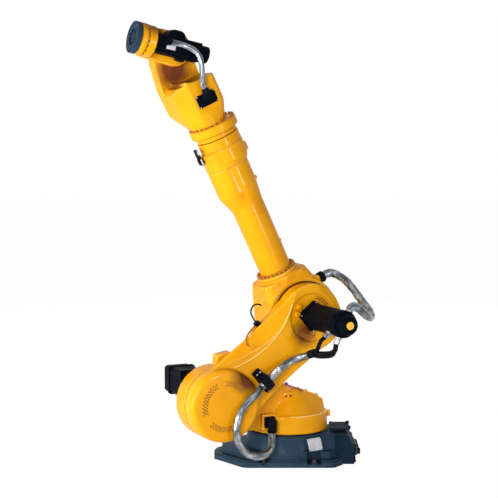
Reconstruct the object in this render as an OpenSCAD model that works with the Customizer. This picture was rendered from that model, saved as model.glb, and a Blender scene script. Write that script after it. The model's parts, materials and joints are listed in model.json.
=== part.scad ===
// Six-axis industrial robot arm with a floor base, parked with the forearm raised.
// Origin: first axis at floor level, +X forward over the base, +Z up, millimetres.

/* [Parked pose] */
// Turn of the turret about the first axis
turret_turn = 25; // [-60:1:60]
// Lean of the lower arm from upright, backwards negative
lower_arm_lean = -51; // [-54:1:-30]
// Rise of the upper arm above level
upper_arm_rise = 64.5; // [40:0.5:75]
// Rise of the tool axis above level
tool_rise = 12; // [-20:1:30]

/* [Axes] */
// First axis to second axis, level
shoulder_reach = 560; // [540:5:620]
// Second axis above the floor
shoulder_height = 421; // [400:1:440]
// Second axis to third axis
lower_arm_length = 780; // [740:5:880]
// Third axis to wrist centre
wrist_distance = 1800; // [1780:5:1950]
// Wrist centre to the face of the tool flange
flange_distance = 300; // [290:1:310]
// Clearance between faces that move past each other
joint_gap = 5; // [4:0.5:8]
// Gap between the elbow boss and the lower arm
elbow_gap = 12; // [5:1:14]
// Clearance of a reducer to the casting that it drives
seat_gap = 0.3; // [0.2:0.1:0.6]

/* [Base] */
// Length of the foot in front of the first axis
foot_front = 462; // [450:1:500]
// Half length of the straight side edges of the foot
foot_side = 276; // [250:1:300]
// Width of the foot
foot_width = 610; // [590:1:660]
// Thickness of the foot
foot_thickness = 42; // [36:1:50]
// Height of the stepped body above the floor
body_height = 88; // [80:1:110]
// Radius of the pedestal at its top
pedestal_radius = 256; // [250:1:270]
// Outward flare of the pedestal at its bottom
pedestal_flare = 40; // [20:1:50]
// Height of the pedestal top
pedestal_height = 182; // [170:1:186]
// Anchor bolt spacing along X
anchor_span_x = 310; // [280:5:340]
// Anchor bolt spacing along Y
anchor_span_y = 524; // [500:2:540]
// Anchor hole radius
anchor_hole_radius = 13.5; // [9:0.5:16]
// Radius of the pocket over each anchor hole
anchor_pocket_radius = 44; // [30:1:50]
// Floor thickness under the anchor bolt heads
anchor_floor = 20; // [14:1:30]

/* [Connector box] */
// Front face of the box behind the first axis
box_front = 290; // [280:1:300]
// Depth of the box
box_depth = 116; // [100:1:130]
// Width of the box
box_width = 410; // [360:2:420]
// Height of the box
box_height = 180; // [170:1:182]
// Height at which the rear of the box starts to slope
box_shoulder = 122; // [100:1:140]
// Thickness of the lid
lid_thickness = 10; // [6:1:12]
// Thickness of the rear connector panel
panel_thickness = 8; // [5:1:10]

/* [Turret] */
// Underside of the turret drum above the floor
drum_bottom = 187; // [187:1:195]
// Radius of the turret drum
drum_radius = 247; // [230:1:255]
// Height of the turret drum
drum_height = 118; // [100:1:130]
// Half width of the hood
hood_half_width = 138; // [120:1:142]
// Radius of the shoulder ring and of the lower arm hub
shoulder_radius = 222; // [200:1:222]
// Inner face of the shoulder from the arm plane
shoulder_inner = 60; // [50:1:70]
// Outer face of the shoulder from the arm plane
shoulder_outer = 188; // [180:1:195]

/* [Lower arm] */
// Outer face of the shoulder cover from the arm plane
cover_face = 308; // [300:1:314]
// Radius of the flat face of the shoulder cover
cover_radius = 190; // [180:1:196]
// Near face of the lower arm from the arm plane
arm_near_face = 250; // [240:1:255]
// Inner face of the lower arm at the elbow from the arm plane
arm_elbow_face = 146; // [142:1:155]
// Radius of the elbow end of the lower arm
elbow_end_radius = 206; // [195:1:215]
// Half width of the lower arm at its waist
arm_waist = 184; // [170:1:190]
// Radius of the recess round the elbow motor
elbow_recess_radius = 150; // [146:1:160]
// Depth of the recess round the elbow motor
elbow_recess = 14; // [8:1:20]

/* [Elbow and upper arm] */
// Radius of the elbow casting round the third axis
elbow_radius = 222; // [212:1:230]
// Half thickness of the elbow casting
elbow_half_depth = 126; // [115:1:130]
// Third axis to the tube flange
tube_flange_distance = 302; // [295:1:320]
// Radius of the tube flange
tube_flange_radius = 130; // [125:1:138]
// Radius of the tube at the elbow
tube_radius = 100; // [92:1:106]
// Radius of the tube near its head
tube_head_radius = 114; // [106:1:120]
// Third axis to the start of the tube head
head_distance = 1040; // [1020:5:1060]
// Radius of the tube head
head_radius = 134; // [126:1:140]
// Length of the tube head
head_length = 120; // [100:1:130]
// Length of the reducer ring behind the wrist
ring_length = 62; // [50:1:70]

/* [Wrist] */
// Radius of the turning wrist flange
wrist_flange_radius = 150; // [140:1:158]
// Length of the turning wrist flange
wrist_flange_length = 84; // [70:1:90]
// Near face of the wrist housing from the arm plane
wrist_near_face = 100; // [90:1:110]
// Far face of the wrist housing from the arm plane
wrist_far_face = 200; // [190:1:210]
// Inner face of the wrist arm from the arm plane
wrist_inner_face = 112; // [108:1:120]
// Wrist centre to the ledge of the housing
wrist_ledge = 206; // [202:1:214]
// Radius of the wrist arm round the fifth axis
wrist_arm_radius = 112; // [104:1:120]

/* [Wrist head] */
// Radius of the head flange on the fifth axis
head_flange_radius = 104; // [98:1:112]
// Radius of the sixth axis gearbox
gearbox_radius = 92; // [86:1:96]
// Length of the sixth axis gearbox
gearbox_length = 61; // [50:1:80]
// Radius of the bolted ring in front of the gearbox
gear_ring_radius = 96; // [92:1:102]
// Thickness of the bolted ring
gear_ring_length = 34; // [28:1:40]
// Frame size of the tool motor
tool_motor_size = 114; // [100:1:116]
// Tool motor length behind its flange
tool_motor_length = 355; // [320:5:355]

/* [Tool flange] */
// Radius of the tool flange
tool_flange_radius = 96; // [94:1:104]
// Thickness of the tool flange
tool_flange_thickness = 28; // [24:1:32]
// Pitch circle of the tool bolts
tool_bolt_circle = 160; // [150:1:170]
// Radius of the tool bolt holes
tool_hole_radius = 6.5; // [5:0.5:7]
// Number of tool bolts
tool_bolts = 6; // [4:1:12]
// Radius of the centring bore
centring_radius = 50; // [40:1:60]
// Depth of the centring bore
centring_depth = 12; // [8:1:16]

/* [Motors] */
// Frame size of the shoulder motor
shoulder_motor_size = 186; // [160:2:190]
// Length of the shoulder motor
shoulder_motor_length = 290; // [240:5:300]
// Offset of the shoulder motor above and in front of the second axis
shoulder_motor_offset = 98; // [90:1:110]
// Frame size of the elbow motor
elbow_motor_size = 140; // [130:2:150]
// Length of the elbow motor
elbow_motor_length = 475; // [440:5:490]
// Frame size of the turn motor
turn_motor_size = 150; // [130:2:160]
// Length of the turn motor
turn_motor_length = 150; // [120:5:160]
// How far the turn motor stands in from the elbow's swing about the shoulder
turn_motor_inset = 442; // [430:1:460]
// Side offset of the turn motor
turn_motor_side = 50; // [40:1:56]

/* [Conduits] */
// Outer diameter of the lower and arm conduits
conduit_diameter = 44; // [38:1:48]
// Outer diameter of the elbow conduit
elbow_conduit_diameter = 50; // [44:1:54]
// Outer diameter of the wrist conduit
wrist_conduit_diameter = 32; // [26:1:36]
// Outer diameter of the sensor cable
sensor_cable_diameter = 10; // [8:1:14]

/* [Hidden] */
$fn = 72;

yellow = "#f2ab10";
slate = "#2c3a47";
black = "#17181b";
steel = "#9aa0a5";
foil = "#b9bdc2";

// Frames of the links in the parked pose
module at_turret() rotate([0, 0, turret_turn]) children();
module at_lower_arm()
    at_turret() translate([shoulder_reach, 0, shoulder_height]) rotate([0, lower_arm_lean, 0]) children();
module at_upper_arm()
    at_lower_arm() translate([0, 0, lower_arm_length])
        rotate([0, -upper_arm_rise - lower_arm_lean, 0]) children();
module at_head()
    at_upper_arm() translate([wrist_distance, 0, 0]) rotate([0, upper_arm_rise - tool_rise, 0]) children();

// Solids along the axes of a link
module disc_x(r, x0, x1) translate([x0, 0, 0]) rotate([0, 90, 0]) cylinder(r = r, h = x1 - x0);
module disc_y(r, y0, y1) translate([0, y0, 0]) rotate([-90, 0, 0]) cylinder(r = r, h = y1 - y0);
module lathe_x(profile) rotate([0, 90, 0]) rotate_extrude() polygon(profile);
module lathe_y(profile) rotate([-90, 0, 0]) rotate_extrude() polygon(profile);
module plate_x(x0, x1) translate([x0, 0, 0]) rotate([90, 0, 90]) linear_extrude(x1 - x0) children();
module plate_y(y0, y1) translate([0, y1, 0]) rotate([90, 0, 0]) linear_extrude(y1 - y0) children();
module block(low, high) translate(low) cube(high - low);

// Outlines with rounded corners
function unit(v) = v / norm(v);
function corner_arc(a, b, c, r, n) =
    let (u = unit(a - b), w = unit(c - b), half = acos(u * w) / 2)
    let (centre = b + unit(u + w) * r / sin(half))
    let (from = b + u * r / tan(half) - centre, to = b + w * r / tan(half) - centre)
    let (start = atan2(from[1], from[0]), turn = atan2(to[1], to[0]) - start)
    let (sweep = turn > 180 ? turn - 360 : turn < -180 ? turn + 360 : turn)
    [for (i = [0:n]) centre + r * [cos(start + sweep * i / n), sin(start + sweep * i / n)]];
function rounded(points, r, n = 6) =
    let (count = len(points))
    [for (i = [0:count - 1])
        each corner_arc(points[(i + count - 1) % count], points[i], points[(i + 1) % count], r, n)];
module rounded_box(size_x, size_y, r)
    polygon(rounded([[-size_x, -size_y] / 2, [size_x, -size_y] / 2, [size_x, size_y] / 2,
        [-size_x, size_y] / 2], r));

// Hose swept along its route
function along(route) =
    [for (i = [0:len(route) - 1])
        unit(route[min(i + 1, len(route) - 1)] - route[max(i - 1, 0)])];
module hose(route, diameter, sides = 10) {
    ways = along(route);
    side_way = [0.31, -0.47, 0.83];
    rings = [for (i = [0:len(route) - 1])
        let (n = unit(cross(ways[i], side_way)), b = cross(ways[i], n))
        for (k = [0:sides - 1])
            route[i] + diameter / 2 * (cos(360 * k / sides) * n + sin(360 * k / sides) * b)];
    last = len(route) - 1;
    walls = [for (i = [0:last - 1], k = [0:sides - 1])
        let (a = i * sides + k, b = i * sides + (k + 1) % sides)
        each [[a, a + sides, b + sides], [a, b + sides, b]]];
    first_cap = [for (k = [0:sides - 1]) k];
    last_cap = [for (k = [sides - 1:-1:0]) last * sides + k];
    polyhedron(rings, concat(walls, [first_cap, last_cap]), convexity = 8);
}

// Foot outline, drawn in by a step
function foot_outline(step) =
    let (w = foot_width / 2 - step, s = foot_side - step / 2, f = foot_front - step)
    [[f, 62], [s, w], [-s, w], [-s - 62, w - 90], [-s - 62, 90 - w], [-s, -w], [s, -w], [f, -62]];
anchors = [for (x = [-1, 1], y = [-1, 1]) [x * anchor_span_x / 2, y * anchor_span_y / 2]];
foot_edge = 10;
body_step = 50;
rear_wall = [[215, 1], [182, 0.5], [150, 0]];
rear_drop = 6;
rear_reach = 100;

function rear_height(share) = pedestal_height - rear_drop - share * (pedestal_height - foot_thickness);

plate_turn = 36;
plate_tilt = 22;
plate_size = [104, 78];
plate_rise = 128;
plate_thickness = 2;
plate_out = pedestal_radius + 20;

module base_casting() color(slate) difference() {
    union() {
        linear_extrude(foot_thickness - foot_edge) polygon(rounded(foot_outline(0), 46));
        translate([0, 0, foot_thickness - foot_edge])
            linear_extrude(foot_edge) polygon(rounded(foot_outline(foot_edge), 40));
        translate([0, 0, foot_thickness])
            linear_extrude(body_height - foot_thickness) polygon(rounded(foot_outline(body_step), 30));
        plate_x(-box_front, -rear_reach) polygon(concat(
            [for (i = [0:2]) [rear_wall[i][0], rear_height(rear_wall[i][1])]],
            [for (i = [2:-1:0]) [-rear_wall[i][0], rear_height(rear_wall[i][1])]]));
        rotate_extrude() polygon(concat(
            [[0, 1], [pedestal_radius + pedestal_flare, 1]],
            [for (a = [0:10:90]) [pedestal_radius + pedestal_flare * (1 - sin(a)),
                foot_thickness + (pedestal_height - foot_thickness - 12) * (1 - cos(a))]],
            [[pedestal_radius, pedestal_height - 8], [pedestal_radius - 8, pedestal_height],
                [0, pedestal_height]]));
        intersection() {
            at_nameplate() translate([-plate_size[0] / 2 - 6, -90, -plate_size[1] / 2 - 6])
                cube([plate_size[0] + 12, 90, plate_size[1] + 12]);
            translate([0, 0, 2]) cylinder(r = 2 * pedestal_radius, h = pedestal_height - 4);
        }
    }
    for (p = anchors) {
        translate([p[0], p[1], -1]) cylinder(r = anchor_hole_radius, h = foot_thickness + 2);
        translate([p[0], p[1], anchor_floor]) cylinder(r = anchor_pocket_radius, h = body_height);
        if (p[0] < 0) translate([p[0] - anchor_pocket_radius, min(p[1], p[1] + sign(p[1]) * 90),
            anchor_floor])
            cube([2 * anchor_pocket_radius, 90, body_height]);
    }
    block([-box_front - 2 * box_depth, -box_width / 2 - seat_gap, -1],
        [-box_front, box_width / 2 + seat_gap, pedestal_height + 1]);
}

module at_nameplate()
    rotate([0, 0, plate_turn]) translate([0, plate_out, plate_rise]) rotate([plate_tilt, 0, 0]) children();
module nameplate() color(foil) at_nameplate()
    translate([-plate_size[0] / 2, 0, -plate_size[1] / 2])
        cube([plate_size[0], plate_thickness, plate_size[1]]);

bearing_outer = drum_radius - 30;
bearing_inner = drum_radius - 70;
module turret_bearing() color(steel) translate([0, 0, pedestal_height]) difference() {
    cylinder(r = bearing_outer, h = drum_bottom - pedestal_height - seat_gap);
    translate([0, 0, -1]) cylinder(r = bearing_inner, h = drum_bottom);
}

box_rear = box_front + box_depth;
module connector_box() color(slate) plate_y(-box_width / 2, box_width / 2) polygon([
    [-box_front, 0], [-box_rear, 0], [-box_rear, box_shoulder], [-box_rear + 16, box_shoulder + 10],
    [-box_rear + 34, box_height - 8], [-box_rear + 42, box_height], [-box_front, box_height]]);

lid_half = 105;
lid_neck = 11;
module box_lid() color(black) {
    block([-box_rear + 48, -lid_half + 24, box_height],
        [-box_front - 4, lid_half - 24, box_height + lid_neck]);
    translate([-(box_front + box_rear) / 2 + 24, 0, box_height + lid_neck])
        linear_extrude(lid_thickness) rounded_box(124, 2 * lid_half, 18);
}

panel_half = box_width / 2 - 12;
module connector_panel() color(black)
    plate_x(-box_rear - panel_thickness, -box_rear) polygon(rounded([[-panel_half, 6], [panel_half, 6],
        [panel_half, box_shoulder - 4], [-panel_half, box_shoulder - 4]], 8));
socket_reach = 16;
module panel_sockets() color(steel) translate([-box_rear - panel_thickness, 0, box_shoulder / 2]) {
    for (y = [-110, 0]) translate([-socket_reach, y, 0]) plate_x(0, socket_reach) rounded_box(92, 54, 8);
    translate([0, 105, 0]) disc_x(26, -socket_reach, 0);
}

// Turret
drum_top = drum_bottom + drum_height;
hood_ridge = [-200, 374];
hood_crest = [10, 452];
ridge_half_width = 84;
motor_seat = shoulder_height + 96;
turn_motor_at = shoulder_reach - lower_arm_length + turn_motor_inset;
neck_bottom = drum_bottom + 39;
gland_pad = 172;
module shoulder_circle() translate([shoulder_reach, shoulder_height]) circle(r = shoulder_radius);
function shoulder_bottom(dx) = shoulder_height - sqrt(pow(shoulder_radius, 2) - pow(dx, 2));
module hood_crown() hull() {
    translate([0, 0, drum_top - 21]) cylinder(r = drum_radius - 13, h = 15, $fn = 48);
    block([hood_ridge[0], -ridge_half_width, drum_top],
        [hood_ridge[0] + 12, ridge_half_width, hood_ridge[1]]);
    block([hood_crest[0], 14 - hood_half_width, drum_top],
        [hood_crest[0] + 57, hood_half_width - 14, hood_crest[1]]);
}
module neck_profile() polygon([
    [46, drum_bottom + 20], [46, hood_crest[1] - 9], [110, motor_seat], [turn_motor_at + 108, motor_seat],
        [turn_motor_at + 188, motor_seat - 60],
    [turn_motor_at + 188, neck_bottom + 30], [260, neck_bottom]]);
module shoulder_profile() {
    shoulder_circle();
    polygon([[100, neck_bottom], [shoulder_reach - 90, shoulder_bottom(90)],
        [shoulder_reach - 20, shoulder_height],
            [shoulder_reach - 90, 2 * shoulder_height - shoulder_bottom(90)],
        [300, motor_seat], [100, motor_seat - 20]]);
}
lug_top = shoulder_height + shoulder_radius + 84;
module turret_casting() color(yellow) at_turret() difference() {
    union() {
        rotate_extrude() polygon([[0, drum_bottom], [drum_radius - 12, drum_bottom],
            [drum_radius - 4, drum_bottom + 4], [drum_radius, drum_bottom + 12],
            [drum_radius, drum_top - 14], [drum_radius - 4, drum_top - 4], [drum_radius - 14, drum_top],
            [0, drum_top]]);
        hood_crown();
        plate_y(-hood_half_width, hood_half_width) neck_profile();
        plate_y(shoulder_inner, shoulder_outer) shoulder_circle();
        plate_y(shoulder_inner, hood_half_width) shoulder_profile();
        plate_y(shoulder_inner + 50, shoulder_outer - 8)
            polygon([[shoulder_reach - 104, shoulder_height + 180],
            [shoulder_reach + 12, shoulder_height + 190], [shoulder_reach + 4, lug_top - 16],
            [shoulder_reach - 86, lug_top]]);
        block([38, hood_half_width - 4, 394], [106, hood_half_width + 12, 440]);
        block([gland_seat[0] - 44, 90, drum_bottom + 30], [gland_seat[0] + 44, gland_pad, drum_top + 14]);
        translate([-drum_radius - 14, -90, drum_top - 60]) cube([30, 44, 40]);
    }
    for (x = [56, 88]) translate([x, 0, 418]) disc_y(7, hood_half_width - 20, hood_half_width + 20);
}

cover_slope = atan2(hood_crest[1] - hood_ridge[1], hood_crest[0] - hood_ridge[0]);
cover_plate = 10;
module hood_cover() color(yellow) at_turret() translate([hood_ridge[0], 0, hood_ridge[1]])
    rotate([0, -cover_slope, 0]) translate([112, 0, 0])
        linear_extrude(cover_plate) rounded_box(170, 2 * ridge_half_width + 8, 18);

module motor_block(size, length, corner) linear_extrude(length) rounded_box(size, size, corner);
// Square motor section with lengthwise ribs on its four sides
rib_pitch = 13;
rib_slot = [5, 8];
module ribbed_box(size, corner, slots) difference() {
    rounded_box(size, size, corner);
    for (side = [0:90:270], k = [(1 - slots) / 2:(slots - 1) / 2])
        rotate(side) translate([k * rib_pitch, size / 2]) square(rib_slot, center = true);
}
module turn_motor() color(black) at_turret() translate([turn_motor_at, -turn_motor_side, motor_seat]) {
    motor_block(turn_motor_size, 18, 12);
    translate([0, 0, 18]) motor_block(turn_motor_size - 14, turn_motor_length - 58, 26);
    translate([0, 0, turn_motor_length - 40]) cylinder(r = turn_motor_size / 2 - 14, h = 40);
}

reducer_share = 0.62;
module shoulder_reducer() color(steel) at_turret() translate([shoulder_reach, 0, shoulder_height])
    disc_y(reducer_share * shoulder_radius, shoulder_outer, hub_inner - seat_gap);

module at_shoulder_motor() at_turret()
    translate([shoulder_reach + shoulder_motor_offset, shoulder_inner, shoulder_height +
        shoulder_motor_offset])
        rotate([90, 0, 0]) children();
motor_cap_share = 0.3;
module shoulder_motor() color(black) at_shoulder_motor() {
    motor_block(shoulder_motor_size, 24, 14);
    translate([0, 0, 24]) linear_extrude(shoulder_motor_length * (1 - motor_cap_share) - 24)
        ribbed_box(shoulder_motor_size - 20, 30, 7);
}
module shoulder_motor_cap() color(black) at_shoulder_motor()
    translate([0, 0, shoulder_motor_length * (1 - motor_cap_share)]) {
        motor_block(shoulder_motor_size - 8, 20, 22);
        motor_block(shoulder_motor_size - 22, shoulder_motor_length * motor_cap_share, 22);
    }

gland_seat = [212, gland_pad, 272];
module turret_gland() color(black) at_turret() translate(gland_seat) {
    rotate([-90, 0, 0]) motor_block(70, 14, 10);
    rotate([-90, 0, 0]) cylinder(r = conduit_diameter / 2 + 8, h = 40);
    translate([0, 40, 0]) sphere(r = conduit_diameter / 2 + 8);
    translate([0, 40, -58]) cylinder(r = conduit_diameter / 2 + 6, h = 50);
}

lower_route = [[212, 212, 213.7], [212, 212, 186], [222, 232, 150], [248, 262, 118], [296, 298, 104],
    [356, 324, 104], [418, 342, 122], [470, 352, 160], [504, 356, 212], [516, 354, 272], [506, 348, 334],
    [480, 342, 386], [448, 340, 430], [412, 342, 464], [372, 340, 492], [336.3, 310, 516.1],
        [316.8, 310, 531.7]];
module lower_conduit() color(foil) at_turret() hose(lower_route, conduit_diameter);

// Lower arm
hub_inner = shoulder_outer + joint_gap;
hub_outer = arm_near_face - 4;
module lathe_hub() lathe_y([[0, hub_inner], [shoulder_radius, hub_inner], [shoulder_radius, hub_outer - 4],
    [shoulder_radius - 4, hub_outer], [0, hub_outer]]);

// Waist of the lower arm: one arc each side, running into both ends a little inside their circles
waist_sink = 6;
hub_ring = shoulder_radius - waist_sink;
elbow_ring = elbow_end_radius - waist_sink;
function waist_span(k) = sqrt((hub_ring - arm_waist) * (k + hub_ring + arm_waist))
    + sqrt((elbow_ring - arm_waist) * (k + elbow_ring + arm_waist));
function waist_solve(low, high, steps) =
    let (mid = (low + high) / 2)
    steps == 0 ? mid
    : waist_span(mid) > lower_arm_length ? waist_solve(low, mid, steps - 1)
    : waist_solve(mid, high, steps - 1);
waist_limit = 90000;
waist_arc = waist_solve(10, waist_limit, 40) / 2;
waist_rise = sqrt((hub_ring - arm_waist) * (2 * waist_arc + hub_ring + arm_waist));
waist_low = asin(waist_rise / (waist_arc + hub_ring));
waist_high = asin((lower_arm_length - waist_rise) / (waist_arc + elbow_ring));
function waist_x(z) = arm_waist + waist_arc - sqrt(pow(waist_arc, 2) - pow(z - waist_rise, 2));
waist_steps = 16;
waist_side = [for (i = [0:waist_steps])
    let (a = -waist_low + (waist_low + waist_high) * i / waist_steps)
    [arm_waist + waist_arc * (1 - cos(a)), waist_rise + waist_arc * sin(a)]];
module beam_outline() polygon(concat(waist_side,
    [for (i = [waist_steps:-1:0]) [-waist_side[i][0], waist_side[i][1]]]));
jog_start = 400;
jog_end = 470;
beam_near_at_hub = arm_near_face - 14;
crease_arc = 550;
crease_waist = 68;
crease_drop = 45;
crease_fall = 122;
module lower_arm() color(yellow) at_lower_arm() {
    lathe_hub();
    difference() {
        intersection() {
            union() {
                plate_y(arm_elbow_face, arm_near_face) beam_outline();
                translate([0, 0, lower_arm_length]) disc_y(elbow_end_radius, arm_elbow_face, arm_near_face);
            }
            plate_x(-2 * shoulder_radius, 2 * shoulder_radius) polygon([
                [hub_inner, -20], [beam_near_at_hub, -20],
                [beam_near_at_hub, clamp_at[1] + 50], [arm_near_face, lower_arm_length - 180],
                [arm_near_face, lower_arm_length + elbow_end_radius - 60],
                [arm_near_face - 30, lower_arm_length + elbow_end_radius + 5],
                [arm_elbow_face, lower_arm_length + elbow_end_radius + 5],
                [arm_elbow_face, jog_end], [hub_inner, jog_start]]);
        }
        translate([crease_waist + crease_arc, arm_near_face - crease_drop, crease_rise]) rotate([-90, 0, 0])
            cylinder(r1 = crease_arc - crease_fall, r2 = crease_arc + crease_fall, h = 2 * crease_drop,
                $fn = 180);
        translate([0, 0, lower_arm_length])
            disc_y(elbow_recess_radius, arm_near_face - elbow_recess, arm_near_face + 1);
    }
}

// Cover with a rounded rim and a flat face
cover_rim = [shoulder_radius - 2 - cover_radius, 28];
module shoulder_cover() color(yellow) at_lower_arm() lathe_y(concat(
    [[0, hub_outer], [shoulder_radius - 5, hub_outer], [shoulder_radius - 2, hub_outer + 3]],
    [for (a = [0:9:90]) [cover_radius + cover_rim[0] * cos(a), cover_face - cover_rim[1] * (1 - sin(a))]],
    [[0, cover_face]]));

clamp_at = [-67, 285];
clamp_half = 26;
clamp_lift = 74;
module conduit_clamp() color(black) at_lower_arm()
    translate([clamp_at[0], beam_near_at_hub, clamp_at[1] - clamp_half]) linear_extrude(2 * clamp_half)
        polygon([
        [-78, 0], [78, 0], [78, 32], [50, 32], [46, clamp_lift + 18], [30, clamp_lift + 34],
        [-30, clamp_lift + 34], [-46, clamp_lift + 18], [-50, 32], [-78, 32]]);

arm_route = [[276, 310, 564.8], [256.5, 310, 580.5], [222, 302, 608], [176, 294, 636], [126, 292, 661],
    [76, 306, 679], [42, 344, 698], [26, 398, 718], [32, 450, 744], [42, 494, 776], [44, 524, 810.2],
        [20.9, 524, 829]];
module arm_conduit() color(foil) at_turret() hose(arm_route, conduit_diameter);

motor_flange = 26;
module at_elbow_motor() at_lower_arm() translate([8, arm_near_face, lower_arm_length + 4])
    rotate([-90, 0, 0]) children();
module elbow_motor_flange() color(black) at_elbow_motor()
    translate([0, 0, -elbow_recess]) motor_block(elbow_motor_size, elbow_recess + motor_flange, 12);
elbow_body = elbow_motor_length * 0.67;
module elbow_motor() color(black) at_elbow_motor() translate([0, 0, motor_flange])
    motor_block(elbow_motor_size - 12, elbow_body, 22);
cap_length = elbow_motor_length - elbow_body - motor_flange;
cap_radius = elbow_motor_size / 2 + 12;
module elbow_motor_cap() color(black) at_elbow_motor() translate([0, 0, motor_flange + elbow_body])
    rotate_extrude() polygon([[0, 0], [cap_radius - 6, 0], [cap_radius, 6], [cap_radius, cap_length - 54],
        [cap_radius - 8, cap_length - 50], [cap_radius - 8, cap_length - 34],
            [cap_radius - 2, cap_length - 30],
        [cap_radius - 2, cap_length - 14], [cap_radius - 16, cap_length], [0, cap_length]]);
module motor_plug() {
    cylinder(r = 24, h = 10);
    translate([0, 0, 10]) cylinder(r = 18, h = 34);
}
plug_seat = elbow_motor_size / 2 - 6;
plug_aside = -30;
module elbow_motor_plugs() color(steel) at_elbow_motor() translate([0, 0, motor_flange]) {
    translate([plug_aside, plug_seat, 0.78 * elbow_body]) rotate([-90, 0, 0]) motor_plug();
    rotate([0, 0, -0.6 * lower_arm_lean]) translate([0, cap_radius, elbow_body + 36]) rotate([-90, 0, 0])
        motor_plug();
    translate([0, -plug_seat, 0.88 * elbow_body]) rotate([90, 0, 0]) motor_plug();
}

module elbow_reducer() color(steel) at_lower_arm() translate([0, 0, lower_arm_length])
    disc_y(reducer_share * elbow_radius, boss_face + seat_gap, arm_elbow_face);

// Height of the sloping face beside the crease
crease_rise = waist_rise - 30;
function crease_face(x, z) = arm_near_face - crease_drop +
    (norm([crease_waist + crease_arc - x, crease_rise - z])
    - crease_arc + crease_fall) * crease_drop / crease_fall;
bracket_at = [136, 362];
module cable_bracket() color(yellow) at_lower_arm()
    translate([bracket_at[0], crease_face(bracket_at[0], bracket_at[1]) + 5 * seat_gap, bracket_at[1]])
        rotate([0, 0, -atan2(crease_drop, crease_fall)]) {
            block([-16, 0, -20], [16, 5, 20]);
            block([-16, 5, -20], [-10, 16, 20]);
        }
cable_route = [[313, 178, 872], [341, 194, 855], [373, 214, 833], [395, 230, 805], [397, 240, 779],
    [383, 245, 761]];
module bracket_cable() color("#7a4a1c") at_turret() hose(cable_route, sensor_cable_diameter, 8);
plug_low = jog_end + 8;
plug_high = jog_end + 42;
plug_side = max(waist_x(plug_low), waist_x(plug_high)) + seat_gap;
module cable_plug() color(black) at_lower_arm()
    block([plug_side, arm_elbow_face + 14, plug_low], [plug_side + 24, arm_elbow_face + 50, plug_high]);

// Elbow and upper arm
boss_face = arm_elbow_face - elbow_gap;
boss_radius = elbow_radius + 14;
elbow_flange = 20;
module elbow_casting() color(yellow) at_upper_arm() {
    hull() {
        disc_y(elbow_radius, -elbow_half_depth, elbow_half_depth - 14, $fn = 48);
        disc_y(elbow_radius - 20, -elbow_half_depth - 12, elbow_half_depth - 2, $fn = 48);
        plate_x(tube_flange_distance - 80, tube_flange_distance - elbow_flange - 12)
            rounded_box(2 * boss_face - 10, 2 * tube_flange_radius + 56, 70);
    }
    disc_x(tube_flange_radius + 8, tube_flange_distance - 60, tube_flange_distance - elbow_flange);
    disc_y(boss_radius, elbow_half_depth - 26, boss_face);
    translate([140, 0, 130]) block([-34, 36, 0], [34, 116, gland_boss - 130]);
}
gland_boss = 204;
module elbow_gland() color(black) at_upper_arm() translate([140, 76, gland_boss]) {
    cylinder(r = 34, h = 16);
    translate([0, 0, 16]) cylinder(r = elbow_conduit_diameter / 2 + 6, h = 28);
}
elbow_route = [[-210.1, 76, 1145.1], [-235.1, 76, 1157], [-262, 82, 1160], [-288, 98, 1150],
    [-310, 140, 1130],
    [-326, 190, 1100], [-336, 244, 1062], [-343, 300, 1020], [-342, 356, 992], [-338, 408, 970],
    [-330, 456, 946], [-312, 494, 932], [-284, 520, 934], [-252, 538, 950], [-220, 550, 974],
    [-190, 555, 998], [-152.5, 555.8, 1008.4], [-129, 555.8, 989.4]];
module elbow_conduit() color(foil) at_turret() hose(elbow_route, elbow_conduit_diameter);

sensor_route = [[214.5, 60, 979.4], [246, 72, 989], [282, 98, 987], [310, 128, 974], [328, 154, 950],
    [325, 172, 926], [317, 178, 908], [307.2, 178, 895.4]];
module sensor_cable() color(black) at_turret() hose(sensor_route, sensor_cable_diameter, 8);

tube_taper = 780;
bulge_reach = 42;
module arm_tube() color(yellow) at_upper_arm() {
    lathe_x([[0, tube_flange_distance - elbow_flange],
        [tube_flange_radius, tube_flange_distance - elbow_flange],
        [tube_flange_radius, tube_flange_distance], [tube_radius + 6, tube_flange_distance],
        [tube_radius, tube_flange_distance + 10], [tube_radius + 2, tube_taper],
        [tube_head_radius, tube_taper + 120], [tube_head_radius, head_distance], [0, head_distance]]);
    hull() {
        translate([0, 0, -20]) disc_x(84, tube_taper - 30, tube_taper - 20, $fn = 48);
        translate([0, 0, -bulge_reach]) disc_x(106, tube_taper + 84, head_distance - 1, $fn = 48);
    }
    for (x = [tube_flange_distance + 159, tube_taper + 107]) translate([x, 0, tube_radius - 12])
        cylinder(r = 10, h = 26);
}
head_end = head_distance + head_length;
module tube_head() color(yellow) at_upper_arm() {
    lathe_x([[0, head_distance], [head_radius - 14, head_distance], [head_radius, head_distance + 34],
        [head_radius, head_end], [0, head_end]]);
    translate([0, 0, -26]) disc_x(head_radius - 12, head_distance, head_end - 10);
    block([head_distance + 30, -30, head_radius - 12], [head_distance + 84, 30, head_radius + 12]);
}
ring_end = head_end + ring_length;
module reducer_ring() color(yellow) at_upper_arm() lathe_x([[0, head_end], [head_radius - 5, head_end],
    [head_radius - 5, head_end + 4], [head_radius - 2, head_end + 5], [head_radius - 2, ring_end],
        [0, ring_end]]);
wrist_start = ring_end + joint_gap;
module forearm_reducer() color(steel) at_upper_arm()
    disc_x(reducer_share * head_radius, ring_end, wrist_start - seat_gap);
module head_connector() color(black) at_upper_arm() translate([head_end, 0, -head_radius - 14]) {
    block([-52, -24, -24], [50, 24, -12]);
    block([-46, -18, -12], [-12, 18, 0]);
}

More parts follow.
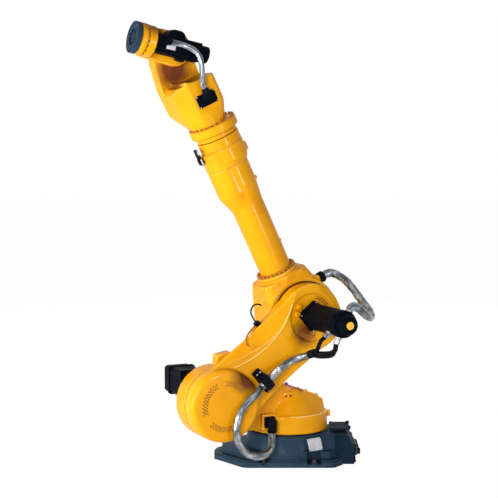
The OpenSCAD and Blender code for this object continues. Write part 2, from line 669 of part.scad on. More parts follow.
// Wrist
wrist_end = wrist_start + wrist_flange_length;
module wrist_flange() color(yellow) at_upper_arm() lathe_x([[0, wrist_start], [head_radius - 6, wrist_start],
    [head_radius - 6, wrist_start + 26], [wrist_flange_radius, wrist_start + 32],
    [wrist_flange_radius, wrist_end - 6], [wrist_flange_radius - 6, wrist_end], [0, wrist_end]]);
ledge = wrist_distance - wrist_ledge;
neck_end = wrist_end + 120;
neck_radius = 110;
neck_shift = -22;
wrist_side = 106;
wrist_cheek = 28;
ledge_lip = 22;
module wrist_section() polygon([[wrist_near_face, wrist_side - 22], [wrist_near_face, -86], [20, -164],
    [-wrist_far_face + 30, -168], [-wrist_far_face, -140], [-wrist_far_face, wrist_side - 40],
    [-wrist_far_face + 36, wrist_side], [wrist_near_face - 22, wrist_side]]);
lip_half = [100, 60];
module lip_section() polygon([[wrist_near_face, lip_half[1]], [wrist_near_face, -86], [84, -lip_half[0]],
    [-wrist_inner_face - 20, -lip_half[0]], [-wrist_inner_face - 20, lip_half[1]]]);
module wrist_housing() color(yellow) at_upper_arm() {
    hull() {
        translate([0, 0, neck_shift]) disc_x(neck_radius, wrist_end, wrist_end + 70, $fn = 48);
        plate_x(neck_end - 2, neck_end) wrist_section();
    }
    difference() {
        plate_x(neck_end, ledge) wrist_section();
        plate_y(-wrist_inner_face, 2 * wrist_near_face)
            polygon([[ledge + 1, -134], [ledge + 1, -180], [ledge - 46, -180]]);
    }
    difference() {
        plate_x(ledge, ledge + ledge_lip) lip_section();
        translate([wrist_distance, 0, 0]) disc_y(wrist_ledge, -wrist_inner_face, 2 * wrist_near_face);
    }
    plate_y(-wrist_far_face, -wrist_inner_face) union() {
        translate([wrist_distance, 0]) circle(r = wrist_arm_radius);
        polygon([[neck_end, -160], [neck_end, wrist_side - 8], [ledge, wrist_side - 4],
            [wrist_distance, wrist_arm_radius],
                [wrist_distance + 0.45 * wrist_arm_radius, -0.89 * wrist_arm_radius],
            [wrist_distance - 14, -wrist_arm_radius - wrist_cheek], [ledge, -168]]);
    }
}
module wrist_plate() color(black) at_upper_arm()
    block([neck_end + 2, wrist_near_face, -70], [neck_end + 80, wrist_near_face + 6, 60]);
wrist_gland_at = [neck_end + 62, wrist_near_face + 6, -6];
module wrist_gland() color(black) at_upper_arm() translate(wrist_gland_at) {
    rotate([-90, 0, 0]) cylinder(r = 25, h = 12);
    translate([0, 12, 0]) block([-20, 0, -21], [20, 40, 21]);
    translate([20, 32, 0]) disc_x(wrist_conduit_diameter / 2 + 5, 0, 26);
}
plate_gap_face = wrist_inner_face - joint_gap;
module wrist_reducer() color(steel) at_upper_arm() translate([wrist_distance, 0, 0])
    disc_y(reducer_share * head_flange_radius, -wrist_inner_face, -plate_gap_face - seat_gap);

// Wrist head
gearbox_front = flange_distance - tool_flange_thickness - joint_gap - gear_ring_length;
gearbox_rear = gearbox_front - gearbox_length;
ring_ledge = [12, 13];
head_flange_thickness = plate_gap_face - tool_motor_size / 2 - 3;
module head_casting() color(yellow) at_head() {
    disc_y(head_flange_radius, -plate_gap_face, -plate_gap_face + head_flange_thickness);
    disc_x(gearbox_radius, gearbox_rear, gearbox_front - ring_ledge[0]);
    disc_x(gearbox_radius - ring_ledge[1], gearbox_rear, gearbox_front);
    plate_y(-plate_gap_face, -plate_gap_face + head_flange_thickness) polygon([[0, -head_flange_radius],
        [gearbox_front - ring_ledge[0], -gearbox_radius], [gearbox_front - ring_ledge[0], gearbox_radius],
        [0, head_flange_radius]]);
    block([gearbox_rear, -plate_gap_face, -gearbox_radius],
        [gearbox_front - ring_ledge[0], 0, gearbox_radius]);
}
module gear_ring() color(yellow) at_head() lathe_x([[0, gearbox_front], [gear_ring_radius, gearbox_front],
    [gear_ring_radius, gearbox_front + gear_ring_length - 8],
    [gear_ring_radius - 8, gearbox_front + gear_ring_length], [0, gearbox_front + gear_ring_length]]);
motor_tail = gearbox_rear - tool_motor_length;
tool_motor_front = 26;
module tool_motor() color(black) at_head() {
    plate_x(gearbox_rear - tool_motor_front, gearbox_rear) rounded_box(tool_motor_size, tool_motor_size, 14);
    plate_x(motor_tail + 60, gearbox_rear - tool_motor_front) ribbed_box(tool_motor_size, 14, 7);
}
module tool_motor_cap() color(black) at_head() disc_x(tool_motor_size / 2 - 6, motor_tail, motor_tail + 60);
hump_half = 56;
hump_at = 42;
module tool_motor_plugs() color(black) at_head() {
    translate([gearbox_rear, tool_motor_size / 2, 17]) {
        block([-66, 0, -27], [-4, 38, 27]);
        translate([0, 19, 0]) disc_x(18, -92, -66);
    }
    plate_y(-44, 44) translate([hump_at, tool_motor_size / 2]) polygon([[-hump_half, 0], [hump_half, 0],
        [hump_half - 4, 20], [hump_half - 16, 34], [hump_half - 34, 40], [34 - hump_half, 40],
        [16 - hump_half, 34], [4 - hump_half, 20]]);
}
wrist_route = [[621.9, 138, 2298.7], [633.9, 138, 2324], [637, 141, 2366], [640, 142, 2412],
    [645, 139, 2454],
    [654, 135, 2486], [672, 127, 2512], [700, 112, 2534], [736, 90, 2552], [773.7, 76, 2563.5],
        [803, 76, 2569.7]];
module wrist_conduit() color(foil) at_turret() hose(wrist_route, wrist_conduit_diameter);
module flange_reducer() color(steel) at_head()
    disc_x(reducer_share * gear_ring_radius, gearbox_front + gear_ring_length,
        flange_distance - tool_flange_thickness - seat_gap);

module tool_flange() color(slate) at_head() difference() {
    disc_x(tool_flange_radius, flange_distance - tool_flange_thickness, flange_distance);
    disc_x(centring_radius, flange_distance - centring_depth, flange_distance + 1);
    for (i = [0:tool_bolts - 1]) rotate([360 * i / tool_bolts, 0, 0]) translate([0, 0, tool_bolt_circle / 2])
        disc_x(tool_hole_radius, flange_distance - tool_flange_thickness - 1, flange_distance + 1);
}

base_casting();
turret_bearing();
connector_box();
box_lid();
connector_panel();
panel_sockets();
nameplate();
turret_casting();
hood_cover();
turn_motor();
shoulder_reducer();
shoulder_motor();
shoulder_motor_cap();
turret_gland();
lower_conduit();
lower_arm();
shoulder_cover();
conduit_clamp();
arm_conduit();
elbow_motor_flange();
elbow_motor();
elbow_motor_cap();
elbow_motor_plugs();
elbow_reducer();
cable_bracket();
cable_plug();
bracket_cable();
elbow_casting();
elbow_gland();
elbow_conduit();
sensor_cable();
arm_tube();
tube_head();
reducer_ring();
head_connector();
forearm_reducer();
wrist_flange();
wrist_housing();
wrist_plate();
wrist_gland();
wrist_reducer();
head_casting();
gear_ring();
tool_motor();
tool_motor_cap();
tool_motor_plugs();
wrist_conduit();
flange_reducer();
tool_flange();
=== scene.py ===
import json
import math

import bmesh
import bpy
from mathutils import Matrix, Vector, noise


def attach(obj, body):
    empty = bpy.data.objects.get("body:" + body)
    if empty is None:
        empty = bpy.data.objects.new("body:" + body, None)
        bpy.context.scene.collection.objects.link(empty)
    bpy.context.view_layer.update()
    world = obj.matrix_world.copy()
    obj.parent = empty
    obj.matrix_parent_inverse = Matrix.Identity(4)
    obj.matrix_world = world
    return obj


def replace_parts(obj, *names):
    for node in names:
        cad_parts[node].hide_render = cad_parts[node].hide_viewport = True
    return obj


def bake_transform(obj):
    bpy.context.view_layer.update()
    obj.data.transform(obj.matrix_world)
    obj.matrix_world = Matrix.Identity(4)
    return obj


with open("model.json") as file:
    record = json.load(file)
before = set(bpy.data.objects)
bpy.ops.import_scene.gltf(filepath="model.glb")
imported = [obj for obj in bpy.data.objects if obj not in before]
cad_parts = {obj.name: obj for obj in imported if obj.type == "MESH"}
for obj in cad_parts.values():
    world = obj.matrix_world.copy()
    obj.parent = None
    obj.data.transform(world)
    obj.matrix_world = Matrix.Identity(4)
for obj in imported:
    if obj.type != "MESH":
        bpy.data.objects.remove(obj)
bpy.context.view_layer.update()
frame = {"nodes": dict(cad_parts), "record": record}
nodes = frame["nodes"]
slot_of = {part["node"]: part["material_slot"] for part in frame["record"]["subparts"]}

# Links of the arm in its parked pose, in metres and degrees
TURRET_TURN = 25
LOWER_ARM_LEAN = -51
UPPER_ARM_RISE = 64.5
TOOL_RISE = 12
SHOULDER_REACH = 0.560
SHOULDER_HEIGHT = 0.421
LOWER_ARM_LENGTH = 0.780
WRIST_DISTANCE = 1.800


def turned(degrees, axis):
    return Matrix.Rotation(math.radians(degrees), 4, axis)


turret = turned(TURRET_TURN, "Z")
shoulder = turret @ Matrix.Translation((SHOULDER_REACH, 0, SHOULDER_HEIGHT))
lower_arm = shoulder @ turned(LOWER_ARM_LEAN, "Y")
elbow = lower_arm @ Matrix.Translation((0, 0, LOWER_ARM_LENGTH))
upper_arm = elbow @ turned(-UPPER_ARM_RISE - LOWER_ARM_LEAN, "Y")
wrist_centre = upper_arm @ Matrix.Translation((WRIST_DISTANCE, 0, 0))
head = wrist_centre @ turned(UPPER_ARM_RISE - TOOL_RISE, "Y")

# Ways that a flat pattern can face: its x and y lie in the face, its z points out of it
FACING_NEAR = Matrix(((-1, 0, 0, 0), (0, 0, 1, 0), (0, 1, 0, 0), (0, 0, 0, 1)))
FACING_FAR = Matrix(((1, 0, 0, 0), (0, 0, -1, 0), (0, 1, 0, 0), (0, 0, 0, 1)))
FACING_ALONG = Matrix(((0, 0, 1, 0), (1, 0, 0, 0), (0, 1, 0, 0), (0, 0, 0, 1)))
FACING_BACK = Matrix(((0, 0, -1, 0), (0, 1, 0, 0), (1, 0, 0, 0), (0, 0, 0, 1)))


def at(link, x, y, z):
    return link @ Matrix.Translation((x, y, z))


def led(points, link=turret):
    """Points of a link as points of the whole arm."""
    return [link @ Vector(point) for point in points]


# Camera
CAMERA_PLACE = (0.2437, 9.013, 2.1207)
CAMERA_TILT = 84.88
CAMERA_LENS = 105.09
CAMERA_SENSOR = 36


def add_camera():
    data = bpy.data.cameras.new("camera")
    data.lens = CAMERA_LENS
    data.sensor_width = CAMERA_SENSOR
    camera = bpy.data.objects.new("camera", data)
    camera.location = CAMERA_PLACE
    camera.rotation_euler = (math.radians(CAMERA_TILT), 0, math.pi)
    bpy.context.collection.objects.link(camera)
    bpy.context.scene.camera = camera


# Materials
class Finish:
    """A material whose nodes are added one after another."""

    def __init__(self, name):
        self.material = bpy.data.materials.new(name)
        self.material.use_nodes = True
        self.tree = self.material.node_tree
        self.shader = self.tree.nodes["Principled BSDF"]
        self.place = self.add("ShaderNodeTexCoord").outputs["Object"]

    def add(self, kind, **settings):
        node = self.tree.nodes.new(kind)
        for key, value in settings.items():
            setattr(node, key, value)
        return node

    def link(self, source, target):
        self.tree.links.new(source, target)

    def set(self, **values):
        for key, value in values.items():
            self.shader.inputs[key.replace("_", " ")].default_value = value

    def noise(self, scale, detail=3.0, roughness=0.5, source=None):
        node = self.add("ShaderNodeTexNoise")
        node.inputs["Scale"].default_value = scale
        node.inputs["Detail"].default_value = detail
        node.inputs["Roughness"].default_value = roughness
        self.link(source or self.place, node.inputs["Vector"])
        return node.outputs["Fac"]

    def ramp(self, factor, stops):
        node = self.add("ShaderNodeValToRGB")
        elements = node.color_ramp.elements
        while len(elements) < len(stops):
            elements.new(0.5)
        for element, (position, colour) in zip(elements, stops):
            element.position = position
            element.color = (*colour, 1)
        self.link(factor, node.inputs["Fac"])
        return node.outputs["Color"]

    def map(self, value, low, high, to_low, to_high):
        node = self.add("ShaderNodeMapRange")
        for key, number in zip(("From Min", "From Max", "To Min", "To Max"), (low, high, to_low, to_high)):
            node.inputs[key].default_value = number
        self.link(value, node.inputs["Value"])
        return node.outputs["Result"]

    def bump(self, height, distance, strength=1.0):
        node = self.add("ShaderNodeBump")
        node.inputs["Distance"].default_value = distance
        node.inputs["Strength"].default_value = strength
        self.link(height, node.inputs["Height"])
        self.link(node.outputs["Normal"], self.shader.inputs["Normal"])


# Reach and range of the painted shade in hollows
HOLLOW_SHADE_REACH = 0.11
HOLLOW_SHADE_RANGE = (0.20, 0.85)
# Pointiness range and share of the painted highlight along sharp edges
EDGE_HIGHLIGHT_RANGE = (0.515, 0.585)
EDGE_HIGHLIGHT_SHARE = 0.75
# Raggedness of the edge of a spot painted darker
SPOT_RAG = 0.03
PAINT_SPECULAR = 0.04


def blended(finish, factor, first, second):
    mixer = finish.add("ShaderNodeMix", data_type="RGBA")
    for socket, value in zip((mixer.inputs[0], mixer.inputs[6], mixer.inputs[7]), (factor, first, second)):
        if isinstance(value, tuple):
            socket.default_value = (*value, 1)
        else:
            finish.link(value, socket)
    return mixer.outputs[2]


def stained(finish, colour, spot, inner, outer, tint):
    """Darkens the colour towards tint round one spot of a piece: full out to inner and gone at outer."""
    away = finish.add("ShaderNodeVectorMath", operation="DISTANCE")
    away.inputs[1].default_value = spot
    finish.link(finish.place, away.inputs[0])
    ragged = finish.add("ShaderNodeMath", operation="MULTIPLY_ADD")
    ragged.inputs[1].default_value = SPOT_RAG
    finish.link(finish.noise(25.0, 3.0), ragged.inputs[0])
    finish.link(away.outputs["Value"], ragged.inputs[2])
    return blended(finish, finish.map(ragged.outputs[0], inner, outer, 0.0, 1.0), tint, colour)


def painted_casting(name, deep, main, light, roughness, coat, peel, hollow_shade, rubbed=None, stain=None):
    """Sprayed paint that clouds slightly, with painted shade darkening its own hollows, where asked a painted highlight
    paling its sharp edges, and where asked a spot painted darker.
    """
    finish = Finish(name)
    cloud = finish.noise(4.0, 4.0, 0.55)
    colour = finish.ramp(cloud, [(0.30, deep), (0.52, main), (0.78, light)])
    # Painted shade: the colour turns to the shade colour where the AO node finds the piece's own hollows
    hollow = finish.add("ShaderNodeAmbientOcclusion", samples=8, only_local=True)
    hollow.inputs["Distance"].default_value = HOLLOW_SHADE_REACH
    colour = blended(finish, finish.map(hollow.outputs["AO"], *HOLLOW_SHADE_RANGE, 0.0, 1.0), hollow_shade, colour)
    # Painted highlight: the paint pales along sharp convex edges that Pointiness finds
    if rubbed:
        bend = finish.add("ShaderNodeNewGeometry").outputs["Pointiness"]
        colour = blended(finish, finish.map(bend, *EDGE_HIGHLIGHT_RANGE, 0.0, EDGE_HIGHLIGHT_SHARE), colour, rubbed)
    # A spot painted darker, which is painted shadow on the wrist, lower arm and shoulder cover
    if stain:
        colour = stained(finish, colour, *stain)
    finish.link(colour, finish.shader.inputs["Base Color"])
    finish.link(finish.map(finish.noise(11.0, 3.0), 0.3, 0.7, roughness - 0.06, roughness + 0.08),
                finish.shader.inputs["Roughness"])
    finish.bump(finish.noise(210.0, 2.0, 0.6), peel)
    finish.set(Coat_Weight=coat, Coat_Roughness=0.14, Specular_IOR_Level=PAINT_SPECULAR)
    return finish.material


def cable_sleeve(name):
    """Foil wrapped round a hose: painted sheen on its creases and painted shade in its hollows along its length."""
    finish = Finish(name)
    along = finish.add("ShaderNodeMapping")
    along.inputs["Scale"].default_value = (1.0, 0.35, 1.0)
    finish.link(finish.add("ShaderNodeUVMap", uv_map="along").outputs["UV"], along.inputs["Vector"])
    crease = finish.noise(9.0, 4.0, 0.58, along.outputs[0])
    # Painted sheen and shade: the foil's colour runs from dark in the bump's hollows to pale on its creases
    foil = finish.ramp(crease, [(0.34, (0.035, 0.045, 0.055)), (0.50, (0.17, 0.19, 0.21)), (0.66, (0.52, 0.54, 0.56))])
    finish.link(foil, finish.shader.inputs["Base Color"])
    finish.link(finish.map(crease, 0.3, 0.7, 0.42, 0.22), finish.shader.inputs["Roughness"])
    finish.bump(crease, 0.004)
    finish.set(Metallic=0.75)
    return finish.material


def plain_finish(name, dark, light, roughness, grain, depth, metallic=0.0, specular=0.4):
    """One colour that clouds slightly over a fine grain."""
    finish = Finish(name)
    cloud = finish.noise(16.0, 4.0)
    finish.link(finish.ramp(cloud, [(0.32, dark), (0.70, light)]), finish.shader.inputs["Base Color"])
    finish.link(finish.map(cloud, 0.3, 0.7, roughness - 0.07, roughness + 0.09), finish.shader.inputs["Roughness"])
    finish.bump(finish.noise(grain, 2.0), depth)
    finish.set(Metallic=metallic, Specular_IOR_Level=specular)
    return finish.material


# Pale yellow of the painted highlight along cast edges
EDGE_HIGHLIGHT_YELLOW = (0.95, 0.60, 0.10)


def yellow_finish(name, **extras):
    # The last colour is that of the painted shade in hollows
    return painted_casting(name, (0.76, 0.305, 0.0015), (0.82, 0.355, 0.002), (0.85, 0.39, 0.003), 0.38, 0.20,
                           0.00035, (0.20, 0.055, 0.003), **extras)


def dark_spot_at(link, spot, inner, outer, tint):
    return at(link, *spot).to_translation(), inner, outer, tint


# Spots painted darker on some yellow finishes
DARK_SPOTS = {
    # Painted shadow in the wrist recess below the tool motor
    "wrist_cast": dark_spot_at(upper_arm, (1.690, -0.030, -0.045), 0.118, 0.170, (0.17, 0.040, 0.008)),
    # Painted shadow on the lower arm round the foot of the elbow motor
    "arm_cast": dark_spot_at(turret, (0.006, 0.300, 0.822), 0.085, 0.132, (0.15, 0.034, 0.004)),
    # Painted shadow on the upper rim of the shoulder cover
    "cover_paint": dark_spot_at(turret, (0.400, 0.300, 0.595), 0.080, 0.165, (0.12, 0.028, 0.004)),
    # Darker round a spot at the top of the head casting, by the gear ring
    "head_cast": dark_spot_at(head, (0.195, 0.030, 0.090), 0.055, 0.115, (0.30, 0.085, 0.005)),
}
# Finishes whose sharp edges get the painted highlight
EDGE_HIGHLIGHT_FINISHES = ("yellow_cast", "wrist_cast", "arm_cast")

# Deep, main and light colour, roughness, coat, peel, colour of the painted shade in hollows
SLATE_FINISHES = {
    "slate_paint": ((0.014, 0.034, 0.056), (0.022, 0.046, 0.076), (0.026, 0.054, 0.080), 0.50, 0.02, 0.0005,
                    (0.006, 0.013, 0.020)),
    "dark_slate_paint": ((0.004, 0.012, 0.022), (0.007, 0.017, 0.031), (0.011, 0.023, 0.040), 0.60, 0.0, 0.0005,
                         (0.002, 0.005, 0.009)),
}

# Dark and light colour, roughness, grain, depth, and where they differ from plain_finish, metallic and specular
PLAIN_FINISHES = {
    # Pale yellow of the painted highlight beads along the lit rim and crease
    "rubbed_edge": ((0.93, 0.58, 0.10), (0.96, 0.72, 0.28), 0.25, 120.0, 0.0001),
    "black_motor": ((0.001, 0.002, 0.005), (0.003, 0.005, 0.009), 0.38, 260.0, 0.0003, 0.0, 0.015),
    "black_plastic": ((0.003, 0.004, 0.007), (0.006, 0.008, 0.012), 0.5, 320.0, 0.0002, 0.0, 0.03),
    "brown_cable": ((0.30, 0.085, 0.012), (0.42, 0.13, 0.02), 0.45, 200.0, 0.0002),
    "bright_steel": ((0.26, 0.27, 0.29), (0.46, 0.46, 0.47), 0.32, 180.0, 0.0002, 1.0),
    "bare_plate": ((0.42, 0.45, 0.48), (0.58, 0.61, 0.63), 0.42, 150.0, 0.0002, 0.5),
    "socket_shadow": ((0.055, 0.018, 0.003), (0.09, 0.030, 0.004), 0.7, 90.0, 0.0003, 0.0, 0.1),
    "yellow_plastic": ((0.82, 0.42, 0.01), (0.92, 0.50, 0.02), 0.4, 140.0, 0.0002),
    "pale_label": ((0.50, 0.48, 0.55), (0.66, 0.64, 0.70), 0.5, 120.0, 0.0001),
    "bronze_screw": ((0.24, 0.085, 0.006), (0.42, 0.16, 0.01), 0.45, 150.0, 0.0002, 0.3),
    "dark_steel": ((0.030, 0.034, 0.040), (0.070, 0.075, 0.082), 0.42, 150.0, 0.0002, 0.7),
    "orange_lead": ((0.45, 0.11, 0.008), (0.60, 0.17, 0.012), 0.42, 150.0, 0.0002),
    "violet_plug": ((0.17, 0.10, 0.34), (0.25, 0.16, 0.45), 0.45, 150.0, 0.0002),
    "dark_rubber": ((0.004, 0.005, 0.007), (0.009, 0.010, 0.013), 0.6, 240.0, 0.0004, 0.0, 0.03),
}


def make_finishes():
    finishes = {"foil_sleeve": cable_sleeve("foil_sleeve")}
    for name in ("yellow_paint", "yellow_cast", *DARK_SPOTS):
        # Yellow finishes get the painted edge highlight and the darker spots where the tables list them
        finishes[name] = yellow_finish(name, rubbed=EDGE_HIGHLIGHT_YELLOW if name in EDGE_HIGHLIGHT_FINISHES else None,
                                       stain=DARK_SPOTS.get(name))
    for name, values in SLATE_FINISHES.items():
        finishes[name] = painted_casting(name, *values)
    for name, values in PLAIN_FINISHES.items():
        finishes[name] = plain_finish(name, *values)
    return finishes


# Node trees for what repeats
def start_tree(name, sizes):
    """A geometry tree with one named input for each size."""
    tree = bpy.data.node_groups.new(name, "GeometryNodeTree")
    tree.interface.new_socket("Geometry", in_out="INPUT", socket_type="NodeSocketGeometry")
    for label, kind in sizes:
        tree.interface.new_socket(label, in_out="INPUT", socket_type=kind)
    tree.interface.new_socket("Geometry", in_out="OUTPUT", socket_type="NodeSocketGeometry")
    return tree, tree.nodes.new("NodeGroupInput"), tree.nodes.new("NodeGroupOutput")


def place_node(tree, kind, inputs=None, **settings):
    node = tree.nodes.new(kind)
    for key, value in settings.items():
        setattr(node, key, value)
    for key, value in (inputs or {}).items():
        if isinstance(value, bpy.types.NodeSocket):
            tree.links.new(value, node.inputs[key])
        else:
            node.inputs[key].default_value = value
    return node


def arithmetic(tree, operation, first, second=0.0):
    return place_node(tree, "ShaderNodeMath", {0: first, 1: second}, operation=operation).outputs[0]


def finish_tree(tree, outlet, geometry, material):
    realized = place_node(tree, "GeometryNodeRealizeInstances", {"Geometry": geometry})
    painted = place_node(tree, "GeometryNodeSetMaterial", {"Geometry": realized.outputs[0], "Material": material})
    tree.links.new(painted.outputs[0], outlet.inputs[0])


SCREW_SIDES = 12
SCREW_OUTLINE = ((1.0, 0.0), (1.0, 0.84), (0.86, 1.0), (0.52, 1.0), (0.50, 0.40), (0.0, 0.40))
SCREW_ROWS = len(SCREW_OUTLINE)
SCREW_WELD = 1e-6
RIB_CROWN = (0.5, 0.97, 1.0)


def make_screw_tree():
    """Cap screws on an arc: a turned head with a socket sunk into its top."""
    tree, inlet, outlet = start_tree("screw_row", [
        ("Count", "NodeSocketInt"), ("Pitch Radius", "NodeSocketFloat"), ("First Angle", "NodeSocketFloat"),
        ("Angle Step", "NodeSocketFloat"), ("Head Radius", "NodeSocketFloat"), ("Head Height", "NodeSocketFloat"),
        ("Material", "NodeSocketMaterial")])
    size = inlet.outputs
    sheet = place_node(tree, "GeometryNodeMeshGrid", {"Vertices X": SCREW_SIDES + 1, "Vertices Y": SCREW_ROWS})
    split = place_node(tree, "ShaderNodeSeparateXYZ", {0: sheet.outputs["UV Map"]})
    turn = arithmetic(tree, "MULTIPLY", split.outputs["X"], 2 * math.pi)
    row = arithmetic(tree, "ROUND", arithmetic(tree, "MULTIPLY", split.outputs["Y"], SCREW_ROWS - 1))
    radius, height = [place_node(tree, "GeometryNodeIndexSwitch", data_type="FLOAT") for _ in range(2)]
    for node, part in ((radius, 0), (height, 1)):
        while len(node.index_switch_items) < SCREW_ROWS:
            node.index_switch_items.new()
        tree.links.new(row, node.inputs["Index"])
        for step, point in enumerate(SCREW_OUTLINE):
            node.inputs[step + 1].default_value = point[part]
    reach = arithmetic(tree, "MULTIPLY", radius.outputs[0], size["Head Radius"])
    spot = place_node(tree, "ShaderNodeCombineXYZ", {
        "X": arithmetic(tree, "MULTIPLY", reach, arithmetic(tree, "COSINE", turn)),
        "Y": arithmetic(tree, "MULTIPLY", reach, arithmetic(tree, "SINE", turn)),
        "Z": arithmetic(tree, "MULTIPLY", height.outputs[0], size["Head Height"])})
    turned_head = place_node(tree, "GeometryNodeSetPosition",
                             {"Geometry": sheet.outputs["Mesh"], "Position": spot.outputs[0]})
    screw = place_node(tree, "GeometryNodeMergeByDistance",
                       {"Geometry": turned_head.outputs[0], "Distance": SCREW_WELD})
    points = place_node(tree, "GeometryNodePoints", {"Count": size["Count"]})
    index = place_node(tree, "GeometryNodeInputIndex").outputs[0]
    angle = arithmetic(tree, "ADD", size["First Angle"], arithmetic(tree, "MULTIPLY", index, size["Angle Step"]))
    ring_spot = place_node(tree, "ShaderNodeCombineXYZ", {
        "X": arithmetic(tree, "MULTIPLY", size["Pitch Radius"], arithmetic(tree, "COSINE", angle)),
        "Y": arithmetic(tree, "MULTIPLY", size["Pitch Radius"], arithmetic(tree, "SINE", angle))})
    spread = place_node(tree, "GeometryNodeSetPosition",
                        {"Geometry": points.outputs[0], "Position": ring_spot.outputs[0]})
    screws = place_node(tree, "GeometryNodeInstanceOnPoints",
                        {"Points": spread.outputs[0], "Instance": screw.outputs[0]})
    finish_tree(tree, outlet, screws.outputs[0], size["Material"])
    return tree


def make_rib_tree():
    """Straight ribs side by side, each a bar with a narrower crown."""
    tree, inlet, outlet = start_tree("rib_row", [
        ("Count", "NodeSocketInt"), ("Pitch", "NodeSocketFloat"), ("Length", "NodeSocketFloat"),
        ("Width", "NodeSocketFloat"), ("Height", "NodeSocketFloat"), ("Material", "NodeSocketMaterial")])
    size = inlet.outputs
    bar_size = place_node(tree, "ShaderNodeCombineXYZ",
                          {"X": size["Width"], "Y": size["Length"], "Z": size["Height"]})
    bar = place_node(tree, "GeometryNodeMeshCube", {"Size": bar_size.outputs[0]})
    position = place_node(tree, "GeometryNodeInputPosition").outputs[0]
    split = place_node(tree, "ShaderNodeSeparateXYZ", {0: position})
    is_top = place_node(tree, "FunctionNodeCompare", {0: split.outputs["Z"], 1: 0.0},
                        data_type="FLOAT", operation="GREATER_THAN")
    crown = place_node(tree, "ShaderNodeVectorMath", {0: position, 1: RIB_CROWN}, operation="MULTIPLY")
    shaped = place_node(tree, "GeometryNodeSetPosition", {
        "Geometry": bar.outputs["Mesh"], "Selection": is_top.outputs[0], "Position": crown.outputs[0]})
    points = place_node(tree, "GeometryNodePoints", {"Count": size["Count"]})
    index = place_node(tree, "GeometryNodeInputIndex").outputs[0]
    middle = arithmetic(tree, "MULTIPLY", arithmetic(tree, "SUBTRACT", size["Count"], 1.0), 0.5)
    across = arithmetic(tree, "MULTIPLY", arithmetic(tree, "SUBTRACT", index, middle), size["Pitch"])
    lift = arithmetic(tree, "MULTIPLY", size["Height"], 0.5)
    spot = place_node(tree, "ShaderNodeCombineXYZ", {"X": across, "Z": lift})
    spread = place_node(tree, "GeometryNodeSetPosition", {"Geometry": points.outputs[0], "Position": spot.outputs[0]})
    ribs = place_node(tree, "GeometryNodeInstanceOnPoints",
                      {"Points": spread.outputs[0], "Instance": shaped.outputs[0]})
    finish_tree(tree, outlet, ribs.outputs[0], size["Material"])
    return tree


def grown(tree, **sizes):
    """The mesh that a tree makes with these sizes."""
    carrier = bpy.data.objects.new("carrier", bpy.data.meshes.new("carrier"))
    bpy.context.collection.objects.link(carrier)
    modifier = carrier.modifiers.new("tree", "NODES")
    modifier.node_group = tree
    identifiers = {item.name: item.identifier for item in tree.interface.items_tree if item.in_out == "INPUT"}
    for key, value in sizes.items():
        modifier[identifiers[key.replace("_", " ")]] = value
    seen = carrier.evaluated_get(bpy.context.evaluated_depsgraph_get())
    mesh = bpy.data.meshes.new_from_object(seen)
    carrier.modifiers.remove(modifier)
    bpy.data.objects.remove(carrier)
    return mesh


class Kit:
    """Collects the meshes of one finish on one body and joins them into one piece."""

    def __init__(self, name, body, slot, finish):
        self.name, self.body, self.slot, self.finish = name, body, slot, finish
        self.mesh = bmesh.new()

    def take(self, mesh, place):
        before = len(self.mesh.verts)
        self.mesh.from_mesh(mesh)
        self.mesh.verts.ensure_lookup_table()
        bmesh.ops.transform(self.mesh, matrix=place, verts=self.mesh.verts[before:])
        bpy.data.meshes.remove(mesh)

    def block(self, low, high, place, edge=0.0):
        shape = bmesh.new()
        bmesh.ops.create_cube(shape, size=1)
        size = Vector(high) - Vector(low)
        middle = (Vector(high) + Vector(low)) / 2
        for vertex in shape.verts:
            vertex.co = Vector(a * b for a, b in zip(vertex.co, size)) + middle
        if edge:
            bmesh.ops.bevel(shape, geom=shape.edges[:], offset=edge, segments=2, profile=0.5, affect="EDGES")
        self.take_shape(shape, place)

    def lathe(self, outline, place, sides=48, open_middle=False):
        """A turned piece: outline is (radius, height) from bottom to top, or all round a ring with an open middle."""
        shape = bmesh.new()
        rings = []
        for radius, height in outline:
            rings.append([shape.verts.new((radius * math.cos(2 * math.pi * k / sides),
                                           radius * math.sin(2 * math.pi * k / sides), height))
                          for k in range(sides)])
        if open_middle:
            rings.append(rings[0])
        else:
            shape.faces.new(reversed(rings[0]))
            shape.faces.new(rings[-1])
        for lower, upper in zip(rings, rings[1:]):
            for k in range(sides):
                shape.faces.new((lower[k], lower[(k + 1) % sides], upper[(k + 1) % sides], upper[k]))
        self.take_shape(shape, place)

    def rod(self, points, radius, sides=12):
        self.take_shape(tube_shape(smooth_route(points, 6), lambda s, a: radius, sides), Matrix())

    def take_shape(self, shape, place):
        mesh = bpy.data.meshes.new("part")
        shape.to_mesh(mesh)
        shape.free()
        self.take(mesh, place)

    def piece(self, smooth_angle=35):
        mesh = bpy.data.meshes.new(self.name)
        bmesh.ops.recalc_face_normals(self.mesh, faces=self.mesh.faces[:])
        self.mesh.to_mesh(mesh)
        self.mesh.free()
        mesh.materials.clear()
        mesh.materials.append(self.finish)
        for polygon in mesh.polygons:
            polygon.material_index = 0
        mesh.shade_smooth()
        mesh.set_sharp_from_angle(angle=math.radians(smooth_angle))
        thing = bpy.data.objects.new(self.name, mesh)
        bpy.context.collection.objects.link(thing)
        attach(thing, self.body)
        return thing


# Cords
UV_ROUND = 0.5
UV_ALONG = 3.0
FIRST_SIDE = (0.31, -0.47, 0.83)
CRINKLES_ROUND = 1.3
CRINKLES_ALONG = 34


